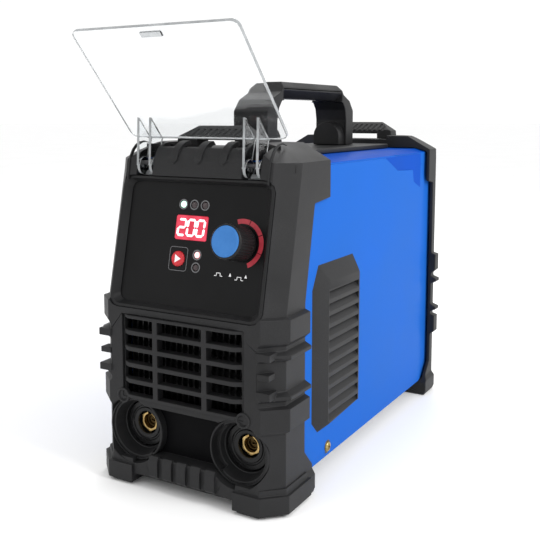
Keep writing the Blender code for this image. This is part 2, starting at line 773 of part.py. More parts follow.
def make_sockets(black, brass, copper, root):
    for side, x in socket_places():
        centre = (x, 0.0, SOCKET_HEIGHT)
        bore = INSERT_RADIUS + GAP
        back = FLANGE_AT + FLANGE_THICK
        flange_profile = [
            (bore, FLANGE_AT), (FLANGE_RADIUS - 1.5, FLANGE_AT), (FLANGE_RADIUS, FLANGE_AT + 1.5),
            (FLANGE_RADIUS, back), (BARREL_RADIUS, back), (BARREL_RADIUS, back + 16.0),
            (bore, back + 16.0),
        ]
        flange = turned("socket_flange_" + side, flange_profile, "Y", centre, 32, is_ring=True)
        finish(flange, black, root, 30)

        end = INSERT_AT + INSERT_LENGTH
        hexagon = regular(INSERT_RADIUS, 6, (x, SOCKET_HEIGHT), math.radians(30))
        insert = prism("socket_insert_" + side, hexagon, "Y", INSERT_AT, INSERT_AT + 6.0)
        join(insert, rod("body", "Y", (x, SOCKET_HEIGHT), INSERT_RADIUS * 0.9, INSERT_AT + 5, end))
        join(insert, rod("stud", "Y", (x, SOCKET_HEIGHT), STUD_RADIUS, end - 1, end + STUD_LENGTH, 16))
        bore_cut = rod("bore", "Y", (x, SOCKET_HEIGHT), INSERT_BORE,
                       INSERT_AT - 1, INSERT_AT + INSERT_BORE_DEPTH)
        combine(insert, bore_cut)
        finish(insert, brass, root, 30)

        # A flat bar from the stud back and up to the edge of the main board
        sign = math.copysign(1.0, x)
        low = SOCKET_HEIGHT - 9.0
        high = SOCKET_HEIGHT + 9.0
        face = end + GAP
        bar = block("bus_bar_" + side, (x - 9.0, x + 9.0), (face, face + 2.5), (low, high))
        top = BOARD_HEIGHT + BOARD_THICK + GAP
        foot = block("foot", sorted((x - sign * 9.0, x + sign * 9.0)),
                     (face + 1.0, BOARD_FRONT + 14.0), (top, top + 2.5))
        join(bar, foot)
        combine(bar, rod("stud_hole", "Y", (x, SOCKET_HEIGHT), STUD_RADIUS + GAP, end - 5, end + 30, 16))
        finish(bar, copper, root)


# ---------------------------------------------------------------------------------------------
# Clear cover


def make_cover(clear, steel, root):
    pivot = empty("cover_hinge", (0.0, *HINGE_AT), COVER_OPEN, root)
    inner = COVER_STANDOFF - COVER_THICK / 2
    outer = COVER_STANDOFF + COVER_THICK / 2
    middle = COVER_START + COVER_HEIGHT / 2
    outline = rounded(COVER_WIDTH / 2, COVER_HEIGHT / 2, COVER_RADIUS, (0.0, middle), 3)
    cover = prism("flip_cover", outline, "Y", inner, outer)

    # Each hinge has two gusset ribs that run from the plate to an eye on the pin.
    eye = [
        (HINGE_EYE * math.cos(math.radians(a)), HINGE_EYE * math.sin(math.radians(a)))
        for a in range(150, 331, 30)
    ]
    tongue = [(-HINGE_EYE, -4.0), (-HINGE_EYE + 1.0, -HINGE_TONGUE), (0.5, -HINGE_TONGUE - 0.5), (HINGE_EYE - 1.0, -6.0)]
    gusset = [eye[0]] + tongue + [eye[-1], (inner + 1, COVER_START), (inner + 1, GUSSET_REACH)]
    for side, x in hinge_places():
        for sign in (-1, 1):
            low = x + sign * HINGE_RIB_SPACING / 2 - HINGE_RIB / 2
            join(cover, prism("rib", gusset, "X", low, low + HINGE_RIB))
        span = (x - HINGE_RIB_SPACING / 2, x + HINGE_RIB_SPACING / 2)
        join(cover, block("loop", span, (-HINGE_EYE + 1.4, 0.0), (-HINGE_TONGUE, -HINGE_TONGUE + 2.2)))
        reach = HINGE_RIB_SPACING / 2 + HINGE_RIB + 1
        combine(cover, rod("eye", "X", (0.0, 0.0), PIN_RADIUS + PIN_CLEARANCE, x - reach, x + reach, 12))
        pin = rod("hinge_pin_" + side, "X", HINGE_AT, PIN_RADIUS, x - PIN_LENGTH / 2, x + PIN_LENGTH / 2, 12)
        finish(pin, steel, root, 40)
    return finish(cover, clear, pivot)


# ---------------------------------------------------------------------------------------------
# Steel case with its vents


def shell_outline(grow):
    return mirrored_x(
        [
            (SHELL_HALF - EMBOSS + grow, SHELL_BOTTOM),
            (SHELL_HALF - EMBOSS + grow, SHELL_CREASE + grow),
            (SHELL_HALF - TOP_CREASE_INSET, SHELL_TOP + grow),
        ]
    )


def vent_outline(inset):
    """Y and Z round a vent; inset is 0 at the case and 1 at the outer face."""
    front = VENT_FROM_FRONT + VENT_FRONT_SLOPE * inset
    rear = VENT_FROM_FRONT + VENT_LENGTH - VENT_REAR_SLOPE * inset
    base = VENT_BASE + 6.0 * inset
    top = VENT_BASE + VENT_HEIGHT - VENT_END_SLOPE * inset
    cut = 10.0 - 7.0 * inset
    return [
        (front, base + cut), (front + cut, base), (rear - cut, base + 3.0), (rear, base + cut),
        (rear, top - cut * 0.6), (rear - cut * 0.5, top), (front + cut, top), (front, top - cut * 1.8),
    ]


def make_vents(black, root, sign, name):
    inner = SHELL_HALF + GAP
    outer = SHELL_HALF + GAP + VENT_PROUD
    sections = [
        [(sign * inner, y, z) for y, z in vent_outline(0.0)],
        [(sign * outer, y, z) for y, z in vent_outline(1.0)],
    ]
    vent = loft(name, sections)
    low, high, front, rear = vent_field()
    pitch = (high - low) / VENT_SLATS
    for row in range(VENT_SLATS):
        z = low + row * pitch
        opening = pitch - SLAT_THICK
        rise = SLAT_SLOPE * (VENT_PROUD + 2.0)
        fall = SLAT_SLOPE * 2.0
        outline = [
            (sign * (inner - 2.0), z + rise), (sign * (outer + 2.0), z - fall),
            (sign * (outer + 2.0), z - fall + opening), (sign * (inner - 2.0), z + rise + opening),
        ]
        combine(vent, prism("gap", outline, "Y", front, rear))
    return finish(vent, black, root)


def vent_field():
    """Lowest and highest Z and front and rear Y of the slatted field."""
    return (
        VENT_BASE + 6.0 + 2.0,
        VENT_BASE + VENT_HEIGHT - VENT_END_SLOPE - 4.0,
        VENT_FROM_FRONT + VENT_FRONT_SLOPE + 1.0,
        VENT_FROM_FRONT + VENT_LENGTH - VENT_REAR_SLOPE - 2.0,
    )


def make_case(blue, steel, zinc, black, root):
    front = FRONT_SIDE_DEPTH - 10.0
    back = LENGTH - REAR_SIDE_DEPTH + 10.0
    shell = prism("case_shell", shell_outline(0.0), "Y", front, back)
    for sign in (-1, 1):
        join(shell, raised_panel(sign))
    inside = mirrored_x(
        [
            (SHELL_HALF - EMBOSS - SHEET, SHELL_BOTTOM - 5.0),
            (SHELL_HALF - EMBOSS - SHEET, SHELL_CREASE - SHEET),
            (SHELL_HALF - TOP_CREASE_INSET, SHELL_TOP - SHEET),
        ]
    )
    combine(shell, prism("inside", inside, "Y", front - 1, back + 1))
    low, high, vent_front, vent_rear = vent_field()
    y, z = CASE_SCREW_AT
    inner_wall = SHELL_HALF - EMBOSS - SHEET
    for sign in (-1, 1):
        sides = sorted((sign * (SHELL_HALF - 10.0), sign * (SHELL_HALF + 5.0)))
        combine(shell, block("vent_hole", sides, (vent_front - 2, vent_rear + 2), (low + 5, high + 11)))
        sink = sorted((sign * (inner_wall + SHEET + GAP / 2), sign * (SHELL_HALF + 5.0)))
        combine(shell, rod("sink", "X", CASE_SCREW_AT, CASE_SCREW_HEAD + 1.2, *sink, 20))
        combine(shell, rod("hole", "X", CASE_SCREW_AT, CASE_SCREW_SHANK + GAP, *sides, 12))
    for y in handle_screw_places():
        combine(shell, rod("hole", "Z", (0.0, y), 2.0 + GAP, SHELL_TOP - 5, SHELL_TOP + 1, 12))
    # Inside the bezel, the top of the case stays clear of the cover's tongues as they swing.
    hinge_y, hinge_z = HINGE_AT
    swing = POCKET_RADIUS + 1.5
    combine(shell, block("notch", (-HALF, HALF), (front - 1, hinge_y + swing), (hinge_z - swing, SHELL_TOP + 5)))
    finish(shell, blue, root)

    pan_half = inner_wall - GAP
    floor = SHELL_BOTTOM + 0.2
    pan_outline = mirrored_x(
        [
            (pan_half, floor), (pan_half, floor + PAN_FLANGE), (pan_half - SHEET, floor + PAN_FLANGE),
            (pan_half - SHEET, floor + SHEET),
        ]
    )
    pan = prism("base_pan", pan_outline, "Y", front, back)
    for sign in (-1, 1):
        sides = sorted((sign * (pan_half - 5.0), sign * (pan_half + 5.0)))
        combine(pan, rod("hole", "X", CASE_SCREW_AT, CASE_SCREW_SHANK + GAP, *sides, 12))
    finish(pan, steel, root)

    for side, sign in (("left", -1), ("right", 1)):
        make_vents(black, root, sign, "side_vent_" + side)
        under = sign * (inner_wall + SHEET + GAP)
        head = rod("case_screw_" + side, "X", CASE_SCREW_AT, CASE_SCREW_HEAD,
                   *sorted((under, under + sign * 2.2)), 20)
        join(head, rod("shank", "X", CASE_SCREW_AT, CASE_SCREW_SHANK,
                       *sorted((under + sign, under - sign * 8.0)), 12))
        recess = regular(2.0, 6, CASE_SCREW_AT)
        combine(head, prism("socket", recess, "X", *sorted((under + sign * 0.8, under + sign * 4.0))))
        finish(head, zinc, root, 30)
    return shell


def raised_panel(sign):
    """The embossed field of a case side, with sloping edges and a cut rear top corner."""
    base = SHELL_HALF - EMBOSS - 0.4
    lean_top = PANEL_TOP - 20.0
    rear = LENGTH - 31.0
    low = SHELL_BOTTOM
    bottom = [
        (FRONT_SIDE_DEPTH, low), (rear, low), (rear, lean_top + 4.0), (rear - 9.0, SHELL_TOP - 12.0),
        (rear - 36.0, SHELL_CREASE - 1.5), (rear - 87.0, SHELL_CREASE + 0.6),
        (FRONT_SIDE_DEPTH + 11.0, SHELL_CREASE + 0.6), (FRONT_SIDE_DEPTH + 11.0, lean_top),
        (FRONT_SIDE_DEPTH, LEAN_START + 5.5),
    ]
    top = [
        (FRONT_SIDE_DEPTH + 8.0, low), (rear - 14.0, low), (rear - 14.0, lean_top),
        (rear - 22.0, SHELL_TOP - 17.5), (rear - 47.0, SHELL_TOP - 16.5),
        (rear - 87.0, SHELL_CREASE), (FRONT_SIDE_DEPTH + 19.0, SHELL_CREASE),
        (FRONT_SIDE_DEPTH + 19.0, lean_top), (FRONT_SIDE_DEPTH + 8.0, LEAN_START + 5.5),
    ]
    sections = [
        [(sign * base, y, z) for y, z in bottom],
        [(sign * SHELL_HALF, y, z) for y, z in top],
    ]
    return loft("raised_panel", sections)


# ---------------------------------------------------------------------------------------------
# Handle


def handle_span():
    front = FRONT_TOP_DEPTH + HANDLE_FRONT_GAP
    rear = LENGTH - REAR_TOP_DEPTH - HANDLE_REAR_GAP
    return front, rear


def handle_screw_places():
    front, rear = handle_span()
    return front + LEG_THICK, rear - LEG_THICK


def make_handle(black, zinc, root):
    front, rear = handle_span()
    plate_bottom = SHELL_TOP + GAP
    plate_top = plate_bottom + BASE_PLATE_THICK
    plate = prism(
        "handle_base",
        rounded(BASE_PLATE_HALF, (LENGTH - REAR_TOP_DEPTH - FRONT_TOP_DEPTH) / 2 - 4.0, 6.0,
                (0.0, (LENGTH - REAR_TOP_DEPTH + FRONT_TOP_DEPTH) / 2), 2),
        "Z", plate_bottom, plate_top,
    )
    base = plate_top + GAP
    top = BEZEL_TOP + HANDLE_TOP
    # The straight legs end in a shoulder that slopes in to the grip.
    shoulder = [
        (0.0, base), (0.0, top - SHOULDER_DROP), (8.0, top - SHOULDER_DROP + 9.0),
        (SHOULDER_LENGTH - 6.5, top - 8.0), (SHOULDER_LENGTH, top),
    ]
    side = [(front + y, z) for y, z in shoulder] + [(rear - y, z) for y, z in reversed(shoulder)]
    handle = prism("handle", side, "X", -GRIP_HALF - 2, GRIP_HALF + 2)
    across = mirrored_x(
        [(GRIP_HALF, base - 1), (GRIP_HALF, top - 4.5), (GRIP_HALF - 4.0, top + 0.01)]
    )
    combine(handle, prism("across", across, "Y", front - 10, rear + 10), "INTERSECT")
    under = top - GRIP_THICK
    inside = [
        (LEG_THICK, base - 1), (LEG_THICK, under - 17.0), (LEG_THICK + 2.0, under - 8.0),
        (LEG_THICK + 7.0, under - 2.0), (LEG_THICK + 14.0, under),
    ]
    opening = [(front + y, z) for y, z in inside] + [(rear - y, z) for y, z in reversed(inside)]
    combine(handle, prism("opening", opening, "X", -GRIP_HALF - 9, GRIP_HALF + 9))
    for sign in (-1, 1):
        edge = [
            (sign * (GRIP_HALF + 1.0), under + 8.0), (sign * (GRIP_HALF + 1.0), under - 0.8),
            (sign * (GRIP_HALF - 7.0), under - 0.8),
        ]
        combine(handle, prism("edge", edge, "Y", front + LEG_THICK + 9.0, rear - LEG_THICK - 9.0))
    lobe = [(LOBE_RADIUS, base), (LOBE_RADIUS, base + 8.0)]
    lobe += [
        (LOBE_RADIUS * math.cos(math.radians(a)), base + 8.0 + LOBE_RADIUS * math.sin(math.radians(a)))
        for a in range(18, 163, 18)
    ]
    lobe += [(-LOBE_RADIUS, base + 8.0), (-LOBE_RADIUS, base)]
    inside_front, inside_rear = handle_screw_places()
    join(handle, prism("lobe", lobe, "Y", inside_front - 4.0, inside_front + LOBE_DEPTH))
    join(handle, prism("lobe", lobe, "Y", inside_rear - LOBE_DEPTH, inside_rear + 4.0))

    # A screw comes up through the case's top and the base plate into each leg.
    for name, y in (("front", inside_front), ("rear", inside_rear)):
        head_low = SHELL_TOP - SHEET - 3.5
        tip = base + 14.0
        screw = rod("handle_screw_" + name, "Z", (0.0, y), HANDLE_SCREW_HEAD, head_low, head_low + 3.0, 18)
        join(screw, rod("shank", "Z", (0.0, y), 2.0, head_low + 2.0, tip, 12))
        finish(screw, zinc, root, 30)
        combine(plate, rod("hole", "Z", (0.0, y), 2.0 + GAP, plate_bottom - 1, plate_top + 1, 12))
        combine(handle, rod("hole", "Z", (0.0, y), 2.0 + GAP, base - 1, tip + GAP, 12))
    finish(plate, black, root)
    return finish(handle, black, root)


# ---------------------------------------------------------------------------------------------
# Rear end


def make_rear_bezel(black, root):
    steps = (12.0, 30.0, PANEL_TOP - 21.0, PANEL_TOP - 18.5)
    bezel = bezel_body("rear_bezel", rear_face, rear_edge_front, -1, bezel_stations(steps))
    wall = LENGTH - BEZEL_WALL
    hollow = [(x, z) for x, z in rounded(
        SHELL_HALF - CORNER[0], (SHELL_CREASE - SHELL_BOTTOM) / 2 - 2.0, 2.0,
        (0.0, (SHELL_CREASE + SHELL_BOTTOM) / 2), 1)]
    combine(bezel, prism("hollow", hollow, "Y", 200.0, wall))
    shell_pocket(bezel, -10.0, LENGTH - REAR_SIDE_DEPTH + 10.0 + GAP)
    cut_between_feet(bezel, LENGTH - REAR_FOOT_DEPTH - 1, LENGTH + 1)
    sink_for_crest(bezel, LENGTH - REAR_CREST_AT, REAR_CREST_HALF)
    make_crest("rear_crest", LENGTH - REAR_CREST_AT, REAR_CREST_HALF, black, root)
    half = REAR_GRILLE_SIZE / 2
    combine(bezel, block("fan_hole", (-half, half), (wall - 1, LENGTH + 1),
                         (FAN_HEIGHT - half, FAN_HEIGHT + half)))
    x, z = SWITCH_AT
    a, b = SWITCH_BODY
    combine(bezel, block("switch_hole", (x - a / 2 - GAP, x + a / 2 + GAP), (wall - 1, LENGTH + 1),
                         (z - b / 2 - GAP, z + b / 2 + GAP)))
    combine(bezel, rod("gland_hole", "Y", GLAND_AT, GLAND_RADIUS - 1.0 + GAP, wall - 1, LENGTH + 1))
    return finish(bezel, black, root)


def make_rear_grille(black, root):
    half = REAR_GRILLE_SIZE / 2 - GAP
    outline = rounded(half, half, 3.0, (0.0, FAN_HEIGHT), 1)
    back = LENGTH - BEZEL_WALL
    grille = prism("rear_grille", outline, "Y", back, back + REAR_GRILLE_THICK)
    cut_slots(grille, half - 6.0, FAN_HEIGHT, 7, REAR_SLOT_BARS, (back - 5, back + 10))
    return finish(grille, black, root)


def make_fan(dark, root):
    front = LENGTH - BEZEL_WALL - GAP - FAN_DEPTH
    back = front + FAN_DEPTH
    half = FAN_SIZE / 2
    fan = prism("fan_frame", rounded(half, half, 4.0, (0.0, FAN_HEIGHT), 1), "Y", front, back)
    combine(fan, rod("bore", "Y", (0.0, FAN_HEIGHT), FAN_BORE, front - 1, back + 1, 36))
    motor = rod("motor", "Y", (0.0, FAN_HEIGHT), HUB_RADIUS, back - 4.0, back, 24)
    for turn in (45, 135, 225, 315):
        strut = block("strut", (HUB_RADIUS - 3.0, FAN_BORE + 2.0), (back - 3.5, back), (-2.0, 2.0))
        turned_strut = Matrix.Translation((0.0, 0.0, FAN_HEIGHT)) @ Matrix.Rotation(math.radians(turn), 4, "Y")
        join(motor, move_mesh(strut, turned_strut))
    join(fan, motor)
    finish(fan, dark, root)

    pivot = empty("fan_axis", (0.0, 0.0, FAN_HEIGHT), parent=root)
    hub_back = back - 4.0 - 1.0
    hub_front = hub_back - ROTOR_DEPTH
    hub = [
        (0.0, hub_front), (HUB_RADIUS - 2.0, hub_front), (HUB_RADIUS, hub_front + 2.0),
        (HUB_RADIUS, hub_back), (0.0, hub_back),
    ]
    rotor = turned("fan_rotor", hub, "Y", (0.0, 0.0, 0.0), 28)
    for number in range(BLADES):
        blade = loft("blade", blade_sections(hub_front, hub_back))
        join(rotor, move_mesh(blade, Matrix.Rotation(math.tau * number / BLADES, 4, "Y")))
    return finish(rotor, dark, pivot)


def blade_sections(low, high):
    """A fan blade along X, whose pitch falls from its root to its tip."""
    middle = (low + high) / 2
    sections = []
    for radius, pitch, chord in BLADE_STATIONS:
        angle = math.radians(pitch)
        along = (math.sin(angle) * chord / 2, math.cos(angle) * chord / 2)
        across = (math.cos(angle) * 0.8, -math.sin(angle) * 0.8)
        sections.append(
            [
                (radius, middle + a * along[0] + b * across[0], a * along[1] + b * across[1])
                for a, b in ((-1, -1), (1, -1), (1, 1), (-1, 1))
            ]
        )
    return sections


def make_switch(black, red, root):
    x, z = SWITCH_AT
    face = LENGTH + GAP
    a, b = SWITCH_FACE
    switch = block("power_switch", (x - a / 2, x + a / 2), (face, face + 2.0), (z - b / 2, z + b / 2))
    a, b = SWITCH_BODY
    body = block("body", (x - a / 2, x + a / 2), (face - 22.0, face + 1.0), (z - b / 2, z + b / 2))
    join(switch, body)
    a, b = ROCKER_SIZE
    room = block("room", (x - a / 2 - GAP, x + a / 2 + GAP), (face - 9.0, face + 5.0),
                 (z - b / 2 - 0.8, z + b / 2 + 0.8))
    combine(switch, room)
    finish(switch, black, root)

    # The rocker is a low wedge on a pivot along X. At rest its upper end is pressed in.
    axis_y = face - 3.0
    pivot = empty("rocker_axis", (x, axis_y, z), math.radians(ROCKER_TILT), root)
    outline = [(-3.5, -5.0), (3.0, -b / 2), (5.0, -b / 2 + 0.6), (3.4, 0.0), (5.0, b / 2 - 0.6), (3.0, b / 2), (-3.5, 5.0)]
    rocker = prism("power_rocker", outline, "X", -a / 2, a / 2)
    return finish(rocker, red, pivot)


def make_gland(black, root):
    centre = (GLAND_AT[0], 0.0, GLAND_AT[1])
    face = LENGTH + GAP
    inner = LENGTH - BEZEL_WALL
    neck = GLAND_RADIUS - 1.0
    profile = [
        (GLAND_BORE, inner - 12.0), (neck, inner - 12.0), (neck, face), (GLAND_RADIUS + 3.5, face),
        (GLAND_RADIUS + 3.5, face + 5.0), (GLAND_RADIUS + 1.5, face + 6.0), (GLAND_RADIUS + 1.5, face + 12.0),
        (GLAND_BORE + 2.0, face + 19.0), (GLAND_BORE, face + 19.0),
    ]
    gland = turned("cable_gland", profile, "Y", centre, 24, is_ring=True)
    finish(gland, black, root, 30)
    hexagon = regular(GLAND_RADIUS + 4.5, 6, GLAND_AT)
    nut = prism("gland_nut", hexagon, "Y", inner - GAP - 5.0, inner - GAP)
    combine(nut, rod("thread", "Y", GLAND_AT, neck + GAP, inner - 20.0, inner + 5.0))
    return finish(nut, black, root)


# ---------------------------------------------------------------------------------------------
# Inside


def make_power_stage(green, aluminium, ferrite, copper, sleeve, steel, root):
    back = LENGTH - BOARD_REAR_GAP
    under = BOARD_HEIGHT
    over = BOARD_HEIGHT + BOARD_THICK
    half = BOARD_HALF
    board = prism("main_board", [(-half, BOARD_FRONT), (half, BOARD_FRONT), (half, back), (-half, back)],
                  "Z", under, over)
    finish(board, green, root)

    floor = SHELL_BOTTOM + 0.2 + SHEET + GAP
    places = [(x, y) for x in (-half + 6.0, half - 6.0) for y in (BOARD_FRONT + 30.0, back - 6.0)]
    for number, place in enumerate(places):
        post = rod("board_standoff_%d" % (number + 1), "Z", place, STANDOFF_RADIUS, floor, under - GAP, 6)
        finish(post, steel, root)

    # From the front: the transformer, a row of capacitors, then the heatsinks to the board's end
    seat = over + GAP
    core_front = BOARD_FRONT + PART_SPACING + WINDING_THICK + GAP
    row = core_front + TRANSFORMER_DEPTH + GAP + WINDING_THICK + PART_SPACING + CAPACITOR_RADIUS
    wide, tall = HEATSINK_WIDTH, HEATSINK_HEIGHT
    deep = back - (row + CAPACITOR_RADIUS + PART_SPACING)
    for side, sign in (("left", -1), ("right", 1)):
        edge = sign * (half - 2.0)
        sink = prism("heatsink_" + side, comb(wide, tall, seat), "Y", back - deep, back)
        turn = Matrix.Translation((edge, 0.0, 0.0)) @ Matrix.Scale(-sign, 4, (1, 0, 0))
        move_mesh(sink, turn)
        if sign > 0:
            sink.data.flip_normals()
        finish(sink, aluminium, root)

    for number in range(3):
        x = (number - 1) * CAPACITOR_PITCH
        profile = [
            (0.0, seat), (CAPACITOR_RADIUS, seat), (CAPACITOR_RADIUS, seat + CAPACITOR_LENGTH - 1.0),
            (CAPACITOR_RADIUS - 1.0, seat + CAPACITOR_LENGTH), (0.0, seat + CAPACITOR_LENGTH),
        ]
        finish(turned("capacitor_%d" % (number + 1), profile, "Z", (x, row, 0.0), 24), sleeve, root, 30)

    make_transformer(ferrite, copper, root, core_front, seat)
    ring = [(9.0, 0.0), (9.0, 14.0), (11.0, 16.0), (18.0, 16.0), (20.0, 14.0), (20.0, 2.0), (18.0, 0.0)]
    middle = back - deep / 2
    choke = turned("output_choke", ring, "Z", (0.0, middle, seat), 28, is_ring=True)
    narrow = (half - 2.0 - wide) - 1.0
    factor = min(1.0, narrow / 20.0)
    move_mesh(choke, Matrix.Translation((0, middle, seat)) @ Matrix.Diagonal((factor, factor, 1, 1))
              @ Matrix.Translation((0, -middle, -seat)))
    finish(choke, copper, root, 30)


def comb(wide, tall, seat):
    """A heatsink's section: a back wall with level fins, from its own outer edge inwards."""
    spine = 6.0
    fin = 2.0
    pitch = (tall - fin) / (HEATSINK_FINS - 1)
    points = [(0.0, seat), (wide, seat)]
    for number in range(HEATSINK_FINS):
        z = seat + number * pitch
        if number:
            points += [(spine, z), (wide, z)]
        points += [(wide, z + fin)]
        if number < HEATSINK_FINS - 1:
            points += [(spine, z + fin)]
    return points + [(0.0, seat + tall)]


def make_transformer(ferrite, copper, root, front, seat):
    """A core with two windows, and a winding round its middle leg."""
    half, tall, depth = TRANSFORMER_WIDTH / 2, TRANSFORMER_HEIGHT, TRANSFORMER_DEPTH
    leg, yoke = TRANSFORMER_LEG, TRANSFORMER_LEG
    core = block("transformer_core", (-half, half), (front, front + depth), (seat, seat + tall))
    for sign in (-1, 1):
        window = sorted((sign * leg, sign * (leg + WINDING_THICK + PART_SPACING + 1.0)))
        combine(core, block("window", window, (front - 1, front + depth + 1), (seat + yoke, seat + tall - yoke)))
    finish(core, ferrite, root)
    low, high = seat + yoke + GAP, seat + tall - yoke - GAP
    around = GAP + WINDING_THICK
    outer = rounded(leg + around, depth / 2 + around, 4.0, (0.0, front + depth / 2), 2)
    winding = prism("transformer_winding", outer, "Z", low, high)
    inner = block("leg", (-leg - GAP, leg + GAP), (front - GAP, front + depth + GAP), (low - 1, high + 1))
    combine(winding, inner)
    finish(winding, copper, root)


# ---------------------------------------------------------------------------------------------


def cover_reach():
    """How far the open cover stands ahead of the front face."""
    y = HINGE_AT[0]
    corners = [(COVER_STANDOFF - COVER_THICK / 2, COVER_START + COVER_HEIGHT)]
    return -min(y + a * math.cos(COVER_OPEN) - b * math.sin(COVER_OPEN) for a, b in corners)


def rear_reach():
    """How far the gland stands behind the rear face."""
    return GAP + 19.0


def build():
    clear_scene()
    middle = (LENGTH + rear_reach() - cover_reach()) / 2
    root = empty("inverter", (0.0, -middle, 0.0))
    panel_frame = empty("panel_frame", (0.0, 0.0, LEAN_START), -LEAN, root)

    black = material("black_abs", (0.035, 0.035, 0.036), 0.55)
    panel_black = material("panel_film", (0.016, 0.016, 0.018), 0.35)
    blue = material("blue_paint", (0.025, 0.2, 0.85), 0.35)
    knob_blue = material("blue_abs", (0.055, 0.19, 0.56), 0.45)
    clear = material("clear_polycarbonate", (0.92, 0.94, 0.95), 0.05, transmission=0.95)
    red_glow = material("red_display", (0.8, 0.03, 0.06), 0.3, emission=1.0)
    button_red = material("red_key", (0.75, 0.04, 0.06), 0.4)
    green_glow = material("lit_lamp_green", (0.8, 1.0, 0.9), 0.3, emission=2.0)
    red_lamp = material("lit_lamp_red", (1.0, 0.5, 0.5), 0.3, emission=2.0)
    grey_lamp = material("unlit_lamp", (0.12, 0.1, 0.1), 0.25)
    brass = material("brass", (0.75, 0.52, 0.2), 0.3, 1.0)
    steel = material("zinc_steel", (0.55, 0.56, 0.57), 0.35, 1.0)
    zinc = material("yellow_zinc", (0.7, 0.58, 0.32), 0.35, 1.0)
    copper = material("copper", (0.72, 0.35, 0.18), 0.35, 1.0)
    aluminium = material("aluminium", (0.75, 0.76, 0.77), 0.4, 1.0)
    green = material("circuit_board", (0.02, 0.16, 0.06), 0.5)
    ferrite = material("ferrite", (0.06, 0.06, 0.065), 0.7)
    sleeve = material("capacitor_sleeve", (0.02, 0.03, 0.07), 0.4)
    fan_black = material("fan_plastic", (0.02, 0.02, 0.02), 0.5)

    make_front_bezel(black, root)
    make_front_grille(black, root)
    make_panel(panel_black, panel_frame)
    make_display(red_glow, panel_frame)
    make_lamps(green_glow, grey_lamp, red_lamp, panel_frame)
    make_button(button_red, panel_frame)
    make_knob(black, knob_blue, steel, steel, panel_frame)
    make_control_board(green, panel_frame)
    make_sockets(black, brass, copper, root)
    make_cover(clear, steel, root)
    make_case(blue, steel, zinc, black, root)
    make_handle(black, zinc, root)
    make_rear_bezel(black, root)
    make_rear_grille(black, root)
    make_fan(fan_black, root)
    make_switch(black, button_red, root)
    make_gland(black, root)
    make_power_stage(green, aluminium, ferrite, copper, sleeve, steel, root)


build()
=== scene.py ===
"""Looks of the stick welding inverter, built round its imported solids. Lengths are in metres,
and MM turns millimetres into them."""

import json
import math

import bpy
from mathutils import Matrix, Vector


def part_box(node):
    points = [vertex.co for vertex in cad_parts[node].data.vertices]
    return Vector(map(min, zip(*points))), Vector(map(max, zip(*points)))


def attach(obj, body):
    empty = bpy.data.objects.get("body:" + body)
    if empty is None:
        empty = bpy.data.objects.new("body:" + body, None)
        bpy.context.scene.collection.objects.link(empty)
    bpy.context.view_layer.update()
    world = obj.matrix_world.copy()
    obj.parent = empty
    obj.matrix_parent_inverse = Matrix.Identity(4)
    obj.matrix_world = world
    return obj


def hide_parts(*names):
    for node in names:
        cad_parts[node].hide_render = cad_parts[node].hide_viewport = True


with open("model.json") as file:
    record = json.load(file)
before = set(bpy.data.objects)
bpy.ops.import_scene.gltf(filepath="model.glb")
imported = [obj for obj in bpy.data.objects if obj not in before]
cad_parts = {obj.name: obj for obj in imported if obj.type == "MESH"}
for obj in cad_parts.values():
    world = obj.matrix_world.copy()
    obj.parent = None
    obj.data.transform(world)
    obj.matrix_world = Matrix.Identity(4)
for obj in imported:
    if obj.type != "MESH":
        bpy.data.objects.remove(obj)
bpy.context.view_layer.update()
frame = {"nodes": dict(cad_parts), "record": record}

MM = 0.001
FRONT_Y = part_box("front_bezel")[0].y  # the front face
LEAN = math.radians(12.4)
LEAN_START = 136.5
HOOD_START = 232.5  # where the leaning front turns into the hood's curve
HOOD_CURVE = (17.0, 19.5)  # how far the curve runs back, and how far up
HINGE = (25.0, 237.0)
COVER_OPEN = math.radians(42.1)
SOCKETS = {"left": -44.7, "right": 44.7}
SOCKET_HEIGHT = 40.5
HINGE_X = {"left": -45.5, "right": 45.5}
# Places on the leaning panel: X and height along it
KNOB_AT = (40.0, 50.0)
DISPLAY_AT = (-3.0, 58.2)
KEY_AT = (-11.3, 35.5)
PRINT = (6.88, 6.98)  # printed lines, between these depths from the leaning front
LAMPS = ((-12.0, 74.8), (-2.6, 74.8), (6.6, 74.8), (4.5, 39.4), (4.5, 30.5))


def at(x, y, z):
    """A point from millimetres: X from the middle, Y back from the front face, Z up."""
    return Vector((x * MM, FRONT_Y + y * MM, z * MM))


DESIGN = Matrix.Translation(at(0, 0, 0)) @ Matrix.Scale(MM, 4)
PANEL = Matrix.Translation(at(0, 0, LEAN_START)) @ Matrix.Rotation(-LEAN, 4, "X") @ Matrix.Scale(MM, 4)
COVER = Matrix.Translation(at(0, *HINGE)) @ Matrix.Rotation(COVER_OPEN, 4, "X") @ Matrix.Scale(MM, 4)


# ---------------------------------------------------------------------------------------------
# Camera, light and floor


def set_up_camera():
    data = bpy.data.cameras.new("camera")
    data.lens = 54.67
    data.shift_x = 0.0134
    data.shift_y = -0.12
    data.clip_start = 0.05
    camera = bpy.data.objects.new("camera", data)
    bpy.context.scene.collection.objects.link(camera)
    camera.location = at(331.67, -455.45, 271.06)
    camera.rotation_euler = (math.radians(90 - 6.211), 0.0, math.radians(30.16))
    bpy.context.scene.camera = camera


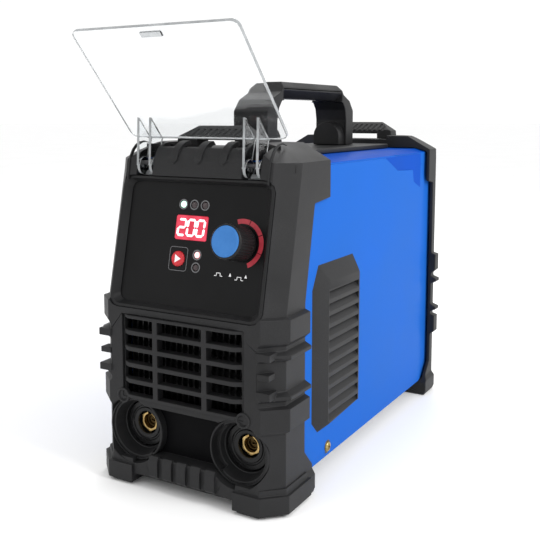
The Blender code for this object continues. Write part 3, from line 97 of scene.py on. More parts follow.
def add_lamp(name, azimuth, elevation, distance, size, power):
    """A square soft light aimed at the middle of the machine."""
    data = bpy.data.lights.new(name, "AREA")
    data.shape = "SQUARE"
    data.size = size
    data.energy = power
    lamp = bpy.data.objects.new(name, data)
    bpy.context.scene.collection.objects.link(lamp)
    a, e = math.radians(azimuth), math.radians(elevation)
    aim = Vector((0.0, 0.0, 0.14))
    back = Vector((math.sin(a) * math.cos(e), -math.cos(a) * math.cos(e), math.sin(e)))
    lamp.location = aim + back * distance
    lamp.rotation_euler = (-back).to_track_quat("-Z", "Y").to_euler()


def set_up_studio():
    scene = bpy.context.scene
    scene.view_settings.view_transform = "Standard"
    world = bpy.data.worlds.new("white_room")
    scene.world = world
    world.use_nodes = True
    world.node_tree.nodes["Background"].inputs["Color"].default_value = (1.0, 1.0, 1.0, 1.0)
    world.node_tree.nodes["Background"].inputs["Strength"].default_value = 1.05
    add_lamp("key_light", -25, 40, 1.6, 0.5, 1.5)
    add_lamp("side_light", 85, 32, 1.6, 0.6, 17)
    add_lamp("back_light", 200, 50, 1.7, 0.6, 5)
    bpy.ops.mesh.primitive_circle_add(vertices=96, radius=30.0, fill_type="NGON", location=(0, 0, -0.0005))
    floor = bpy.context.object
    floor.name = "studio_floor"
    floor.data.materials.append(pale_floor())


# ---------------------------------------------------------------------------------------------
# Materials


def linear(hex_colour, alpha=1.0):
    """An sRGB hex colour as the linear values that the shader takes."""
    parts = [int(hex_colour[i:i + 2], 16) / 255 for i in (1, 3, 5)]
    return (*[p / 12.92 if p <= 0.04045 else ((p + 0.055) / 1.055) ** 2.4 for p in parts], alpha)


def add_node(tree, kind, inputs=None, **settings):
    """Adds a shader node with its settings; an input takes a value or another node's output."""
    node = tree.nodes.new("ShaderNode" + kind)
    for name, value in settings.items():
        setattr(node, name, value)
    for name, value in (inputs or {}).items():
        if isinstance(value, bpy.types.NodeSocket):
            tree.links.new(value, node.inputs[name])
        else:
            node.inputs[name].default_value = value
    return node


def start_material(name, colour, roughness, **shader_inputs):
    """A Principled material; returns it with its tree, its shader and its object coordinates."""
    material = bpy.data.materials.new(name)
    material.use_nodes = True
    tree = material.node_tree
    shader = tree.nodes["Principled BSDF"]
    shader.inputs["Base Color"].default_value = linear(colour)
    shader.inputs["Roughness"].default_value = roughness
    for key, value in shader_inputs.items():
        shader.inputs[key.replace("_", " ").title().replace("Ior", "IOR")].default_value = value
    place = add_node(tree, "TexCoord").outputs["Object"]
    return material, tree, shader, place


def mottle(tree, place, size_mm, low, high, detail=2.0):
    """Noise whose blobs are about size_mm across, spread between two values."""
    noise = add_node(tree, "TexNoise", {"Vector": place, "Scale": 1 / (size_mm * MM), "Detail": detail})
    return add_node(tree, "MapRange", {"Value": noise.outputs["Fac"], "From Min": 0.3, "From Max": 0.7,
                                       "To Min": low, "To Max": high}).outputs["Result"]


def tint(tree, shader, factor, dark, light):
    """The base colour runs from dark to light with the factor."""
    mix = add_node(tree, "Mix", {"Factor": factor}, data_type="RGBA")
    mix.inputs[6].default_value = linear(dark)
    mix.inputs[7].default_value = linear(light)
    tree.links.new(mix.outputs[2], shader.inputs["Base Color"])


def roughen(tree, shader, height, strength, depth_mm):
    bump = add_node(tree, "Bump", {"Height": height, "Strength": strength, "Distance": depth_mm * MM})
    tree.links.new(bump.outputs["Normal"], shader.inputs["Normal"])


def moulded_abs(name, dark, light, gloss):
    """Injection-moulded black ABS with a spark-eroded grain: soft, broad sheen and a faint speckle."""
    material, tree, shader, place = start_material(name, dark, gloss, specular_ior_level=0.22)
    # The grain is 0.3 mm on the real part and is drawn at 0.6 mm, so that it shows.
    grain = mottle(tree, place, 0.6, 0.0, 1.0, 3.0)
    broad = mottle(tree, place, 35.0, 0.0, 1.0, 3.0)
    mixed = add_node(tree, "Math", {0: grain, 1: broad}, operation="MULTIPLY")
    tint(tree, shader, mixed.outputs["Value"], dark, light)
    rough = add_node(tree, "MapRange", {"Value": broad, "To Min": gloss - 0.05, "To Max": gloss + 0.08})
    tree.links.new(rough.outputs["Result"], shader.inputs["Roughness"])
    roughen(tree, shader, grain, 0.35, 0.04)
    return material


def blue_powder_coat(name, dark, light):
    """Powder-coated sheet steel: even strong blue, semi-gloss, with a shallow orange peel."""
    material, tree, shader, place = start_material(name, dark, 0.42, specular_ior_level=0.02)
    peel = mottle(tree, place, 2.2, 0.0, 1.0, 1.0)
    cloud = mottle(tree, place, 60.0, 0.0, 1.0)
    tint(tree, shader, cloud, dark, light)
    rough = add_node(tree, "MapRange", {"Value": cloud, "To Min": 0.36, "To Max": 0.46})
    tree.links.new(rough.outputs["Result"], shader.inputs["Roughness"])
    roughen(tree, shader, peel, 0.12, 0.05)
    return material


def panel_film():
    """Screen-printed polyester film over the panel: near-black, smooth satin with a fine velvet."""
    material, tree, shader, place = start_material(
        "printed_polyester_film", "#0E0E0F", 0.3, specular_ior_level=0.16)
    velvet = mottle(tree, place, 0.5, 0.0, 1.0, 2.0)
    tint(tree, shader, mottle(tree, place, 30.0, 0.0, 1.0), "#080809", "#0D0D0E")
    roughen(tree, shader, velvet, 0.15, 0.01)
    return material


def clear_polycarbonate():
    """Injection-moulded clear polycarbonate: colourless, glossy, with bright and dark edges."""
    material, tree, shader, place = start_material(
        "clear_polycarbonate", "#FBFDFE", 0.02, transmission_weight=1.0, ior=1.50)
    haze = mottle(tree, place, 12.0, 0.01, 0.05)
    tree.links.new(haze, shader.inputs["Roughness"])
    return material


def turned_brass(name, centre):
    """Machined free-cutting brass: warm yellow, with fine tool rings round the bore."""
    material, tree, shader, place = start_material(name, "#BFA269", 0.3, metallic=1.0)
    shift = add_node(tree, "Mapping", {"Vector": place, "Location": -centre})
    rings = add_node(tree, "TexWave", {"Vector": shift.outputs["Vector"], "Scale": 320.0, "Distortion": 0.4},
                     wave_type="RINGS", rings_direction="Y")
    tint(tree, shader, mottle(tree, place, 3.0, 0.0, 1.0), "#A98B55", "#CBB07A")
    roughen(tree, shader, rings.outputs["Fac"], 0.3, 0.02)
    return material


def plated_steel(name, dark, light, gloss):
    """Zinc-plated steel: bright grey or yellow metal, clouded by passivation."""
    material, tree, shader, place = start_material(name, light, gloss, metallic=1.0)
    cloud = mottle(tree, place, 4.0, 0.0, 1.0, 4.0)
    tint(tree, shader, cloud, dark, light)
    rough = add_node(tree, "MapRange", {"Value": cloud, "To Min": gloss - 0.06, "To Max": gloss + 0.14})
    tree.links.new(rough.outputs["Result"], shader.inputs["Roughness"])
    roughen(tree, shader, mottle(tree, place, 0.5, 0.0, 1.0), 0.15, 0.01)
    return material


def extruded_aluminium():
    """Bare extruded aluminium: pale grey metal with die lines along the extrusion."""
    material, tree, shader, place = start_material("extruded_aluminium", "#C9CBCD", 0.38, metallic=1.0)
    stretch = add_node(tree, "Mapping", {"Vector": place, "Scale": (1.0, 0.02, 1.0)})
    lines = mottle(tree, stretch.outputs["Vector"], 0.8, 0.0, 1.0)
    tint(tree, shader, lines, "#B4B6B9", "#D5D7D9")
    roughen(tree, shader, lines, 0.3, 0.02)
    return material


def solder_mask():
    """Green solder mask over copper: glossy dark green, lighter where tracks run under it."""
    material, tree, shader, place = start_material("green_solder_mask", "#0D4A2A", 0.3)
    tracks = add_node(tree, "TexBrick", {"Vector": place, "Scale": 90.0, "Mortar Size": 0.03})
    tint(tree, shader, tracks.outputs["Fac"], "#0D4A2A", "#1B6E42")
    return material


def smooth_part(name, dark, light, gloss, size_mm, **shader_inputs):
    """A plain hard finish with slight cloudiness, for small and inner parts."""
    material, tree, shader, place = start_material(name, dark, gloss, **shader_inputs)
    cloud = mottle(tree, place, size_mm, 0.0, 1.0, 3.0)
    tint(tree, shader, cloud, dark, light)
    roughen(tree, shader, cloud, 0.1, 0.02)
    return material


def glowing(name, dark, light, glow, strength, size_mm):
    """A tinted plastic lens lit from behind, a little brighter in patches."""
    material, tree, shader, place = start_material(name, dark, 0.25, emission_strength=strength)
    cloud = mottle(tree, place, size_mm, 0.0, 1.0)
    tint(tree, shader, cloud, dark, light)
    mix = add_node(tree, "Mix", {"Factor": cloud}, data_type="RGBA")
    mix.inputs[6].default_value = linear(glow[0])
    mix.inputs[7].default_value = linear(glow[1])
    tree.links.new(mix.outputs[2], shader.inputs["Emission Color"])
    return material


def pale_floor():
    """Matt white studio card."""
    material, tree, shader, place = start_material("white_studio_card", "#F8F8F8", 0.8)
    tint(tree, shader, mottle(tree, place, 300.0, 0.0, 1.0), "#F7F7F7", "#FAFAFA")
    return material


# The finishes; a pair of colours is the darkest and the lightest of one finish
BLACK = moulded_abs("black_moulded_abs", "#1C1C1D", "#29292A", 0.48)
SOFT_BLACK = moulded_abs("satin_black_abs", "#161617", "#1F1F20", 0.42)
BLUE = blue_powder_coat("blue_powder_coat", "#1958AC", "#1D5AB2")
# A darker copy of the same blue: painted shade for the case's upward faces and its sunk rear corners.
SHADED_BLUE = blue_powder_coat("blue_powder_coat_painted_shade", "#02419E", "#0545A6")
FILM = panel_film()
CLEAR = clear_polycarbonate()
GLOSS_BLACK = smooth_part("gloss_black_abs", "#0E0E0F", "#151516", 0.25, 20.0, specular_ior_level=0.25)
# Near black with almost no sheen: painted shade for the floor of the recess between the sockets.
RECESS_PAINTED_SHADE = smooth_part("recess_painted_shade_abs", "#08080A", "#0D0D0E", 0.6, 20.0, specular_ior_level=0.05)
KNOB_BLUE = smooth_part("blue_abs", "#366FB0", "#3D76B7", 0.45, 6.0, specular_ior_level=0.15)
# Light grey, half clear, for the cover's thin edge faces: painted light and shade where the clear edges bend the
# light.
EDGE_LIGHT_AND_SHADE = smooth_part("polycarbonate_edge_painted_light_and_shade", "#A9ADAF", "#C6C9CB", 0.18, 5.0, transmission_weight=0.45)
BLACK_OXIDE = smooth_part("black_oxide_steel", "#1B1B1D", "#2A2A2C", 0.35, 2.0)
KEY_RED = smooth_part("red_silicone_key", "#B01822", "#C9222E", 0.4, 2.0)
ARC_RED = smooth_part("red_screen_ink", "#9C2230", "#B22C3B", 0.45, 4.0)
WHITE_INK = smooth_part("white_screen_ink", "#E8E8E8", "#F2F2F2", 0.5, 2.0)
GREY_INK = smooth_part("grey_screen_ink", "#5B5B5D", "#68686A", 0.5, 2.0)
DISPLAY = glowing("red_display_glow", "#5E0C18", "#7A1020", ("#D8223F", "#F04A66"), 0.85, 9.0)
DIGIT = glowing("digit_glow", "#FFB4B8", "#FFD8DA", ("#FFC4CC", "#FFF2F2"), 1.3, 6.0)
LAMP_GREEN = glowing("lit_green_led", "#D8FFE8", "#F0FFF8", ("#7CF5BE", "#C9FFE8"), 1.15, 3.0)
LAMP_RED = glowing("lit_red_led", "#FFC0C0", "#FFE4E4", ("#FF7A7A", "#FFD0D0"), 1.2, 3.0)
LAMP_OFF = smooth_part("unlit_led_lens", "#2E2426", "#3C3032", 0.2, 2.0)
ZINC = plated_steel("zinc_plated_steel", "#A7A9AC", "#C4C6C8", 0.34)
YELLOW_ZINC = plated_steel("yellow_passivated_zinc", "#8E7A4A", "#C2AC73", 0.36)
# A much darker brass, used only on the socket cores deep in the bores.
DARKER_BRASS = plated_steel("darker_brass", "#4A3C26", "#6B5838", 0.5)
COPPER = plated_steel("copper_wire", "#A35F3B", "#C17A52", 0.36)
ALUMINIUM = extruded_aluminium()
BOARD = solder_mask()
FERRITE = smooth_part("sintered_ferrite", "#2B2B2E", "#38383B", 0.6, 2.0)
SLEEVE = smooth_part("pvc_shrink_sleeve", "#161B2E", "#1F2740", 0.3, 8.0)
FAN_BLACK = smooth_part("glass_filled_nylon", "#1A1A1B", "#242425", 0.5, 4.0)

SLOT_FINISH = {
    "black_abs": BLACK, "panel_film": FILM, "blue_paint": BLUE, "blue_abs": KNOB_BLUE,
    "clear_polycarbonate": CLEAR, "red_display": DISPLAY, "red_key": KEY_RED,
    "lit_lamp_green": LAMP_GREEN, "lit_lamp_red": LAMP_RED, "unlit_lamp": LAMP_OFF,
    "zinc_steel": ZINC, "yellow_zinc": YELLOW_ZINC, "copper": COPPER, "aluminium": ALUMINIUM,
    "circuit_board": BOARD, "ferrite": FERRITE, "capacitor_sleeve": SLEEVE, "fan_plastic": FAN_BLACK,
}


# ---------------------------------------------------------------------------------------------
# Modelling


def pick(*pieces):
    """Selects these pieces alone, the first one active."""
    if bpy.context.mode != "OBJECT":
        bpy.ops.object.mode_set(mode="OBJECT")
    bpy.ops.object.select_all(action="DESELECT")
    for piece in pieces:
        piece.select_set(True)
    bpy.context.view_layer.objects.active = pieces[0]


def edit(piece):
    pick(piece)
    bpy.ops.object.mode_set(mode="EDIT")
    bpy.ops.mesh.select_all(action="SELECT")


def done(piece):
    bpy.ops.object.mode_set(mode="OBJECT")
    return piece


def settle(piece, where):
    """Moves the piece's mesh from its own millimetre frame to its place on the machine."""
    piece.data.transform(where @ piece.matrix_basis)
    piece.matrix_basis = Matrix.Identity(4)
    return piece


def apply_modifier(piece, kind, **settings):
    pick(piece)
    modifier = piece.modifiers.new(kind.title(), kind)
    for name, value in settings.items():
        setattr(modifier, name, value)
    bpy.ops.object.modifier_apply(modifier=modifier.name)
    return piece


def tidy_faces(piece):
    """Drops stray short edges and splits each flat into faces with no inward corner."""
    edit(piece)
    bpy.ops.mesh.remove_doubles(threshold=0.12 * MM)
    bpy.ops.mesh.dissolve_limited(angle_limit=math.radians(0.8))
    bpy.ops.mesh.vert_connect_concave()
    return done(piece)


def soften(piece, width_mm, segments=2, angle=30.0):
    """Rounds every edge that is sharper than the angle, and keeps the flats flat."""
    tidy_faces(piece)
    apply_modifier(piece, "BEVEL", width=width_mm * MM, segments=segments, limit_method="ANGLE",
                   angle_limit=math.radians(angle), use_clamp_overlap=False, miter_outer="MITER_ARC")
    edit(piece)
    bpy.ops.mesh.vert_connect_nonplanar(angle_limit=math.radians(4))
    return shade(done(piece))


def shade(piece):
    pick(piece)
    bpy.ops.object.shade_smooth_by_angle(angle=math.radians(40))
    return apply_modifier(piece, "WEIGHTED_NORMAL", keep_sharp=True, weight=50)


def add_block(x, y, z):
    """A box between two values on each axis, in millimetres of the piece's own frame."""
    low, high = Vector((x[0], y[0], z[0])), Vector((x[1], y[1], z[1]))
    bpy.ops.mesh.primitive_cube_add(size=1.0, location=(low + high) / 2)
    piece = bpy.context.object
    piece.scale = high - low
    return settle(piece, Matrix.Identity(4))


def add_plate(outline, axis, low, high):
    """A flat outline across an axis, filled and extruded from low to high."""
    order = {"X": lambda a, b: (low, a, b), "Y": lambda a, b: (a, low, b), "Z": lambda a, b: (a, b, low)}[axis]
    bpy.ops.mesh.primitive_circle_add(vertices=len(outline), radius=1.0, fill_type="NGON")
    piece = bpy.context.object
    for vertex, pair in zip(piece.data.vertices, outline):
        vertex.co = order(*pair)
    step = {"X": (high - low, 0, 0), "Y": (0, high - low, 0), "Z": (0, 0, high - low)}[axis]
    edit(piece)
    bpy.ops.mesh.extrude_region_move(TRANSFORM_OT_translate={"value": step})
    bpy.ops.mesh.select_all(action="SELECT")
    bpy.ops.mesh.normals_make_consistent(inside=False)
    return done(piece)


def add_turned(profile, centre, steps=48):
    """A profile of (radius, depth) spun about the Y axis through centre; it ends on the axis, or closes."""
    bpy.ops.mesh.primitive_circle_add(vertices=len(profile), radius=1.0, fill_type="NOTHING")
    piece = bpy.context.object
    for vertex, (radius, depth) in zip(piece.data.vertices, profile):
        vertex.co = (radius, depth, 0.0)
    edit(piece)
    bpy.ops.mesh.spin(steps=steps, angle=math.tau, center=(0, 0, 0), axis=(0, 1, 0))
    bpy.ops.mesh.select_all(action="SELECT")
    bpy.ops.mesh.remove_doubles(threshold=1e-3)
    bpy.ops.mesh.delete_loose(use_edges=True)
    bpy.ops.mesh.select_all(action="SELECT")
    bpy.ops.mesh.normals_make_consistent(inside=False)
    done(piece)
    piece.data.transform(Matrix.Translation(centre))
    return piece


def combine(piece, tool, operation="UNION"):
    apply_modifier(piece, "BOOLEAN", object=tool, operation=operation, solver="EXACT")
    bpy.data.objects.remove(tool)
    return piece


def merge(*pieces):
    """Joins pieces into the first one's object."""
    pick(*pieces)
    bpy.ops.object.join()
    return pieces[0]


def copy_node(node, name):
    """An editable copy of a CAD node: its loose triangles merged and its flats made one face."""
    mesh = frame["nodes"][node].data.copy()
    piece = bpy.data.objects.new(name, mesh)
    bpy.context.scene.collection.objects.link(piece)
    mesh.materials.clear()
    edit(piece)
    bpy.ops.mesh.customdata_custom_splitnormals_clear()
    bpy.ops.mesh.remove_doubles(threshold=2e-5)
    bpy.ops.mesh.dissolve_limited(angle_limit=math.radians(0.8))
    return done(piece)


def hand_over(piece, name, surface, body, slot, *nodes):
    """Names the finished piece, gives it its finish, and lets it ride and stand for its CAD nodes."""
    piece.name = name
    piece.data.name = name
    piece.data.materials.clear()
    piece.data.materials.append(surface)
    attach(piece, body)
    if nodes:
        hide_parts(*nodes)
    return piece


def rounded(half_a, half_b, radius, centre=(0.0, 0.0)):
    """A rectangle with round corners."""
    points, steps = [], 5
    for sign_a, sign_b, start in ((1, 1, 0), (-1, 1, 90), (-1, -1, 180), (1, -1, 270)):
        for step in range(steps + 1):
            angle = math.radians(start + 90 * step / steps)
            points.append((centre[0] + sign_a * (half_a - radius) + radius * math.cos(angle),
                           centre[1] + sign_b * (half_b - radius) + radius * math.sin(angle)))
    return points


# ---------------------------------------------------------------------------------------------
# Front moulding


def hood_profile(proud):
    """Y and Z down the rounded front of the hood, standing proud of it."""
    points = []
    base_y = (HOOD_START - LEAN_START) * math.tan(LEAN)
    depth, height = HOOD_CURVE
    for degrees in (0, 15, 30, 45, 60, 75, 90):
        up = math.sin(math.radians(degrees))
        y = base_y + depth * (1 - math.cos(math.radians(degrees)))
        outwards = proud * math.cos(math.radians(degrees * 0.8 + 8))
        points.append((y - outwards, HOOD_START + height * up + proud * up))
    return points


def add_hood_rib(x, width, low):
    """A band over the hood's curve, with a pointed lower end."""
    outer = [(y, z) for y, z in hood_profile(1.3) if z > low]
    inner = [(y + 3.0, z - 3.0) for y, z in reversed(outer)]
    band = add_plate(outer + inner, "X", x - width / 2, x + width / 2)
    tip = [(x - width, low - 8), (x + width, low - 8), (x + width, low + 7), (x, low - 1.0), (x - width, low + 7)]
    return combine(band, add_plate(tip, "Y", -30.0, 60.0), "DIFFERENCE")


def build_front_moulding():
    front = copy_node("front_bezel", "front_moulding")
    settle(front, DESIGN.inverted())
    for x in (-19.8, 1.3, 22.4):
        combine(front, add_hood_rib(x, 6.5, 237.0))
    # The field between the sockets and a round step about each ring
    combine(front, add_plate(rounded(32.0, 18.5, 3.0, (0.0, SOCKET_HEIGHT + 2.5)), "Y", -3.0, 11.9), "DIFFERENCE")
    for x in SOCKETS.values():
        step = [(0.0, -4.0), (24.3, -4.0), (24.3, 6.5), (0.0, 6.5)]
        combine(front, add_turned(step, (x, 0.0, SOCKET_HEIGHT), 72), "DIFFERENCE")
    # Upright ribs on the skirt between the feet
    for number in range(5):
        x = -24.0 + 12.3 * number
        outline = [(-2.4, 11.0), (-2.4, 22.0), (-0.6, 25.6), (2.0, 25.6), (2.0, 8.5), (0.5, 8.5)]
        combine(front, add_plate(outline, "X", x - 4.0, x + 4.0))
    # Bars that end on the corner chamfers, and a sunk line round each corner's octagon
    for sign in (-1, 1):
        for z in (86.0, 112.3):
            combine(front, add_block(sorted((sign * 62.0, sign * 73.0)), (-1.3, 9.0), (z - 2.6, z + 2.6)))
        combine(front, add_block(sorted((sign * 62.5, sign * 72.0)), (-0.7, 8.0), (96.6, 100.8)))
    settle(front, DESIGN)
    soften(front, 0.5)
    hand_over(front, "front_moulding", BLACK, "machine", "black_abs", "front_bezel")

    # The recess floor takes the painted shade finish, darker than the moulding round it.
    floor = add_block((-34.0, 34.0), (11.5, 12.6), (25.0, 61.0))
    for x in SOCKETS.values():
        opening = [(0.0, 8.0), (23.0, 8.0), (23.0, 16.0), (0.0, 16.0)]
        combine(floor, add_turned(opening, (x, 0.0, SOCKET_HEIGHT), 72), "DIFFERENCE")
    shade(settle(floor, DESIGN))
    hand_over(floor, "socket_field", RECESS_PAINTED_SHADE, "machine", "black_abs")
    for side, x in (("left", -51.6), ("right", 51.6)):
        # A sunk screw head in a raised ring
        boss = [(0.0, 0.6), (3.2, 0.6), (3.6, 0.2), (4.2, -1.0), (5.2, -1.0), (5.6, -0.6), (5.6, 2.0), (0.0, 2.0)]
        boss = shade(settle(add_turned(boss, (x, 0.0, 66.4), 40), DESIGN))
        hand_over(boss, "screw_boss_" + side, BLACK, "machine", "black_abs")


def build_feet():
    """A thicker block with a sloping top wraps the corner of each front foot."""
    for side, sign in (("left", -1), ("right", 1)):
        foot = [(43.5, -2.2), (65.5, -2.2), (80.6, 12.4), (80.6, 46.0), (68.0, 46.0), (68.0, 6.0), (43.5, 6.0)]
        top = [(44.5, 0.8), (64.0, 0.8), (77.5, 13.6), (77.5, 45.0), (68.0, 45.0), (68.0, 6.0), (44.5, 6.0)]
        block = add_plate([(sign * x, y) for x, y in foot], "Z", 2.0, 19.0)
        for vertex, (x, y) in zip([v for v in block.data.vertices if v.co.z > 10.0], top):
            vertex.co = (sign * x, y, 19.0)
        waist = add_plate([(sign * x, y) for x, y in foot], "Z", 2.0, 15.0)
        combine(block, waist)
        soften(settle(block, DESIGN), 0.5)
        hand_over(block, "front_foot_" + side, BLACK, "machine", "black_abs")


def build_hood_lines():
    """A fine raised line over each shoulder of the hood."""
    for side, x in (("left", -60.0), ("right", 60.0)):
        outer = [((225.0 - LEAN_START) * math.tan(LEAN) - 0.7, 225.0), *hood_profile(0.7)]
        outer.append((outer[-1][0] + 5.0, outer[-1][1] - 1.2))
        inner = [(y + 2.0, z - 1.0) for y, z in reversed(outer)]
        line = soften(settle(add_plate(outer + inner, "X", x - 0.7, x + 0.7), DESIGN), 0.25)
        hand_over(line, "hood_line_" + side, BLACK, "machine", "black_abs")


def build_hood_corners():
    """Fills the thin corner of the case's pocket, flush with the hood's slanting side."""
    for side, sign in (("left", -1), ("right", 1)):
        fill = add_block(sorted((sign * 71.4, sign * 73.25)), (34.0, 37.0), (229.0, 237.9))
        for vertex in fill.data.vertices:
            if vertex.co.y < 35.0:
                vertex.co.y = 31.5 + 1.0735 * (abs(vertex.co.x) - 71.28) + 0.1618 * (vertex.co.z - 238.29)
        shade(settle(fill, DESIGN))
        hand_over(fill, "hood_corner_" + side, BLACK, "machine", "black_abs")


def build_front_grille():
    grille = copy_node("front_grille", "intake_grille")
    settle(grille, DESIGN.inverted())
    # The outer slots run on round the fold
    for row in range(5):
        height = 97.0 + 12.0 * (row - 2)
        for sign in (-1, 1):
            slot = add_block(sorted((sign * 44.0, sign * 50.2)), (-10.0, 20.0), (height - 4.35, height + 4.35))
            combine(grille, slot, "DIFFERENCE")
    settle(grille, DESIGN)
    soften(grille, 0.45)
    hand_over(grille, "intake_grille", BLACK, "machine", "black_abs", "front_grille")

    # A dark screen of upright fins behind the grille hides the boards: painted shade, so the slots read dark
    screen = add_block((-53.0, 53.0), (14.0, 15.0), (62.0, 131.0))
    fins = [add_block((x - 0.5, x + 0.5), (9.5, 14.5), (64.0, 130.0)) for x in range(-50, 51, 5)]
    screen = soften(settle(merge(screen, *fins), DESIGN), 0.15)
    hand_over(screen, "intake_screen", GLOSS_BLACK, "machine", "black_abs")


def build_panel_surround():
    """A moulded frame that slopes from the mouth of the recess down to the film."""
    half, height, middle = 65.0, 48.6, 45.05
    outer = add_plate(rounded(half - 0.3, height - 0.3, 7.8, (0.0, middle)), "Y", 1.6, 6.8)
    window = rounded(half - 7.5, height - 5.5, 6.0, (-0.5, middle + 1.0))
    mouth = rounded(half - 1.6, height - 1.6, 7.0, (0.0, middle))
    tool = add_plate(window, "Y", -1.0, 9.0)
    front_half = [v for v in tool.data.vertices if v.co.y < 0]
    for vertex, pair in zip(front_half, mouth):
        vertex.co = (pair[0], 0.6, pair[1])
    combine(outer, tool, "DIFFERENCE")
    settle(outer, PANEL)
    soften(outer, 0.3)
    hand_over(outer, "panel_surround", SOFT_BLACK, "machine", "black_abs")


def build_crest(node, name, middle_y, half):
    """The strap bar, with a row of slanting teeth down its front slope."""
    crest = copy_node(node, name)
    settle(crest, DESIGN.inverted())
    pitch = 5.4
    count = int(2 * half / pitch)
    for number in range(count):
        x = (number - (count - 1) / 2) * pitch
        groove = [(x - 1.5, -2.0), (x + 1.2, -2.0), (x + 4.0, 9.0), (x + 1.9, 9.0)]
        tool = add_plate(groove, "Z", -0.6, 4.0)
        slope = Matrix.Translation((0, middle_y, 257.2)) @ Matrix.Rotation(math.radians(36.0), 4, "X")
        tool.data.transform(slope)
        combine(crest, tool, "DIFFERENCE")
    settle(crest, DESIGN)
    soften(crest, 0.5)
    hand_over(crest, name, BLACK, "machine", "black_abs", node)


# ---------------------------------------------------------------------------------------------
# Control panel


def frame_line(half_a, half_b, radius, centre, width):
    """A thin printed line round a rounded rectangle."""
    outer = add_plate(rounded(half_a, half_b, radius, centre), "Y", *PRINT)
    inner = add_plate(rounded(half_a - width, half_b - width, radius - width, centre), "Y", 6.5, 7.4)
    return settle(combine(outer, inner, "DIFFERENCE"), PANEL)


def arc_band(centre, inner, outer, start, end):
    """A printed arc; the angles are in degrees clockwise from straight up."""
    steps = 10
    angles = [math.radians(start + (end - start) * i / steps) for i in range(steps + 1)]
    points = [(centre[0] + outer * math.sin(a), centre[1] + outer * math.cos(a)) for a in angles]
    points += [(centre[0] + inner * math.sin(a), centre[1] + inner * math.cos(a)) for a in reversed(angles)]
    return add_plate(points, "Y", 6.86, 6.98)


SEGMENTS = {"0": "abcdef", "2": "abged"}
DIGIT_HALF = (4.1 / 1.35, 7.6 / 1.35)  # half the width and half the height between a digit's strokes
STROKE = 1.15
DIGIT_LEAN = 0.08


def segment_outline(letter, middle):
    """A six-sided bar of a seven-segment digit."""
    a, b = DIGIT_HALF
    ends = {
        "a": ((-a, b), (a, b)), "b": ((a, b), (a, 0)), "c": ((a, 0), (a, -b)), "d": ((-a, -b), (a, -b)),
        "e": ((-a, -b), (-a, 0)), "f": ((-a, 0), (-a, b)), "g": ((-a, 0), (a, 0)),
    }[letter]
    start, end = Vector(ends[0]), Vector(ends[1])
    along = (end - start).normalized()
    across = Vector((-along.y, along.x)) * STROKE * 0.75
    start += along * 0.25
    end -= along * 0.25
    inset = along * STROKE * 0.7
    points = [start, start + inset + across, end - inset + across,
              end, end - inset - across, start + inset - across]
    return [(middle[0] + p.x + DIGIT_LEAN * p.y, middle[1] + p.y) for p in points]


def build_display():
    window = copy_node("display_window", "display_lens")
    soften(window, 0.3)
    hand_over(window, "display_lens", DISPLAY, "machine", "red_display", "display_window")
    bars = []
    for place, digit in zip((-8.0, 0.0, 8.0), "200"):
        middle = (DISPLAY_AT[0] + place, DISPLAY_AT[1])
        for letter in SEGMENTS[digit]:
            bars.append(add_plate(segment_outline(letter, middle), "Y", 6.55, 6.69))
    digits = settle(merge(*bars), PANEL)
    hand_over(digits, "display_digits", DIGIT, "machine", "red_display")


def build_panel_prints():
    arcs = [arc_band(KNOB_AT, 14.0, 17.4, start, end)
            for start, end in ((-18, 18), (20, 64), (66, 110), (112, 156))]
    arcs = settle(merge(*arcs), PANEL)
    hand_over(arcs, "current_scale", ARC_RED, "machine", "panel_film")

    outline = frame_line(7.8, 8.6, 2.2, KEY_AT, 0.4)
    hand_over(outline, "key_outline", GREY_INK, "machine", "panel_film")

    rings = []
    for x, v in LAMPS:
        rings.append(add_turned([(2.9, 6.86), (3.7, 6.86), (3.7, 6.98), (2.9, 6.98)], (x, 0, v), 32))
    rings = settle(merge(*rings), PANEL)
    hand_over(rings, "lamp_rings", GREY_INK, "machine", "panel_film")

    # Pulse signs under the knob, in strokes that run along X or along the panel's height
    strokes, half = [], 0.22
    wave = [(-3.4, -1.0), (-1.6, -1.0), (-1.6, 1.0), (1.6, 1.0), (1.6, -1.0), (3.4, -1.0)]
    for x, v in ((24.0, 27.6), (41.0, 26.2)):
        for (a, b), (c, d) in zip(wave, wave[1:]):
            across = sorted((x + a, x + c)) if a != c else (x + a - half, x + a + half)
            along = sorted((v + b, v + d)) if b != d else (v + b - half, v + b + half)
            strokes.append(add_block(across, PRINT, along))
    for x in (33.6, 46.2):
        strokes.append(add_plate([(x - 1.0, 27.0), (x + 1.0, 27.0), (x, 29.4)], "Y", *PRINT))
    strokes = settle(merge(*strokes), PANEL)
    hand_over(strokes, "pulse_signs", WHITE_INK, "machine", "panel_film")


def build_mode_key():
    key = copy_node("mode_button", "mode_key")
    shade(key)
    hand_over(key, "mode_key", KEY_RED, "mode_key", "red_key", "mode_button")
    arrow = add_plate([(-13.2, 32.6), (-8.2, 35.5), (-13.2, 38.4)], "Y", 5.5, 5.7)
    arrow = settle(arrow, PANEL)
    hand_over(arrow, "mode_key_arrow", WHITE_INK, "mode_key", "red_key")


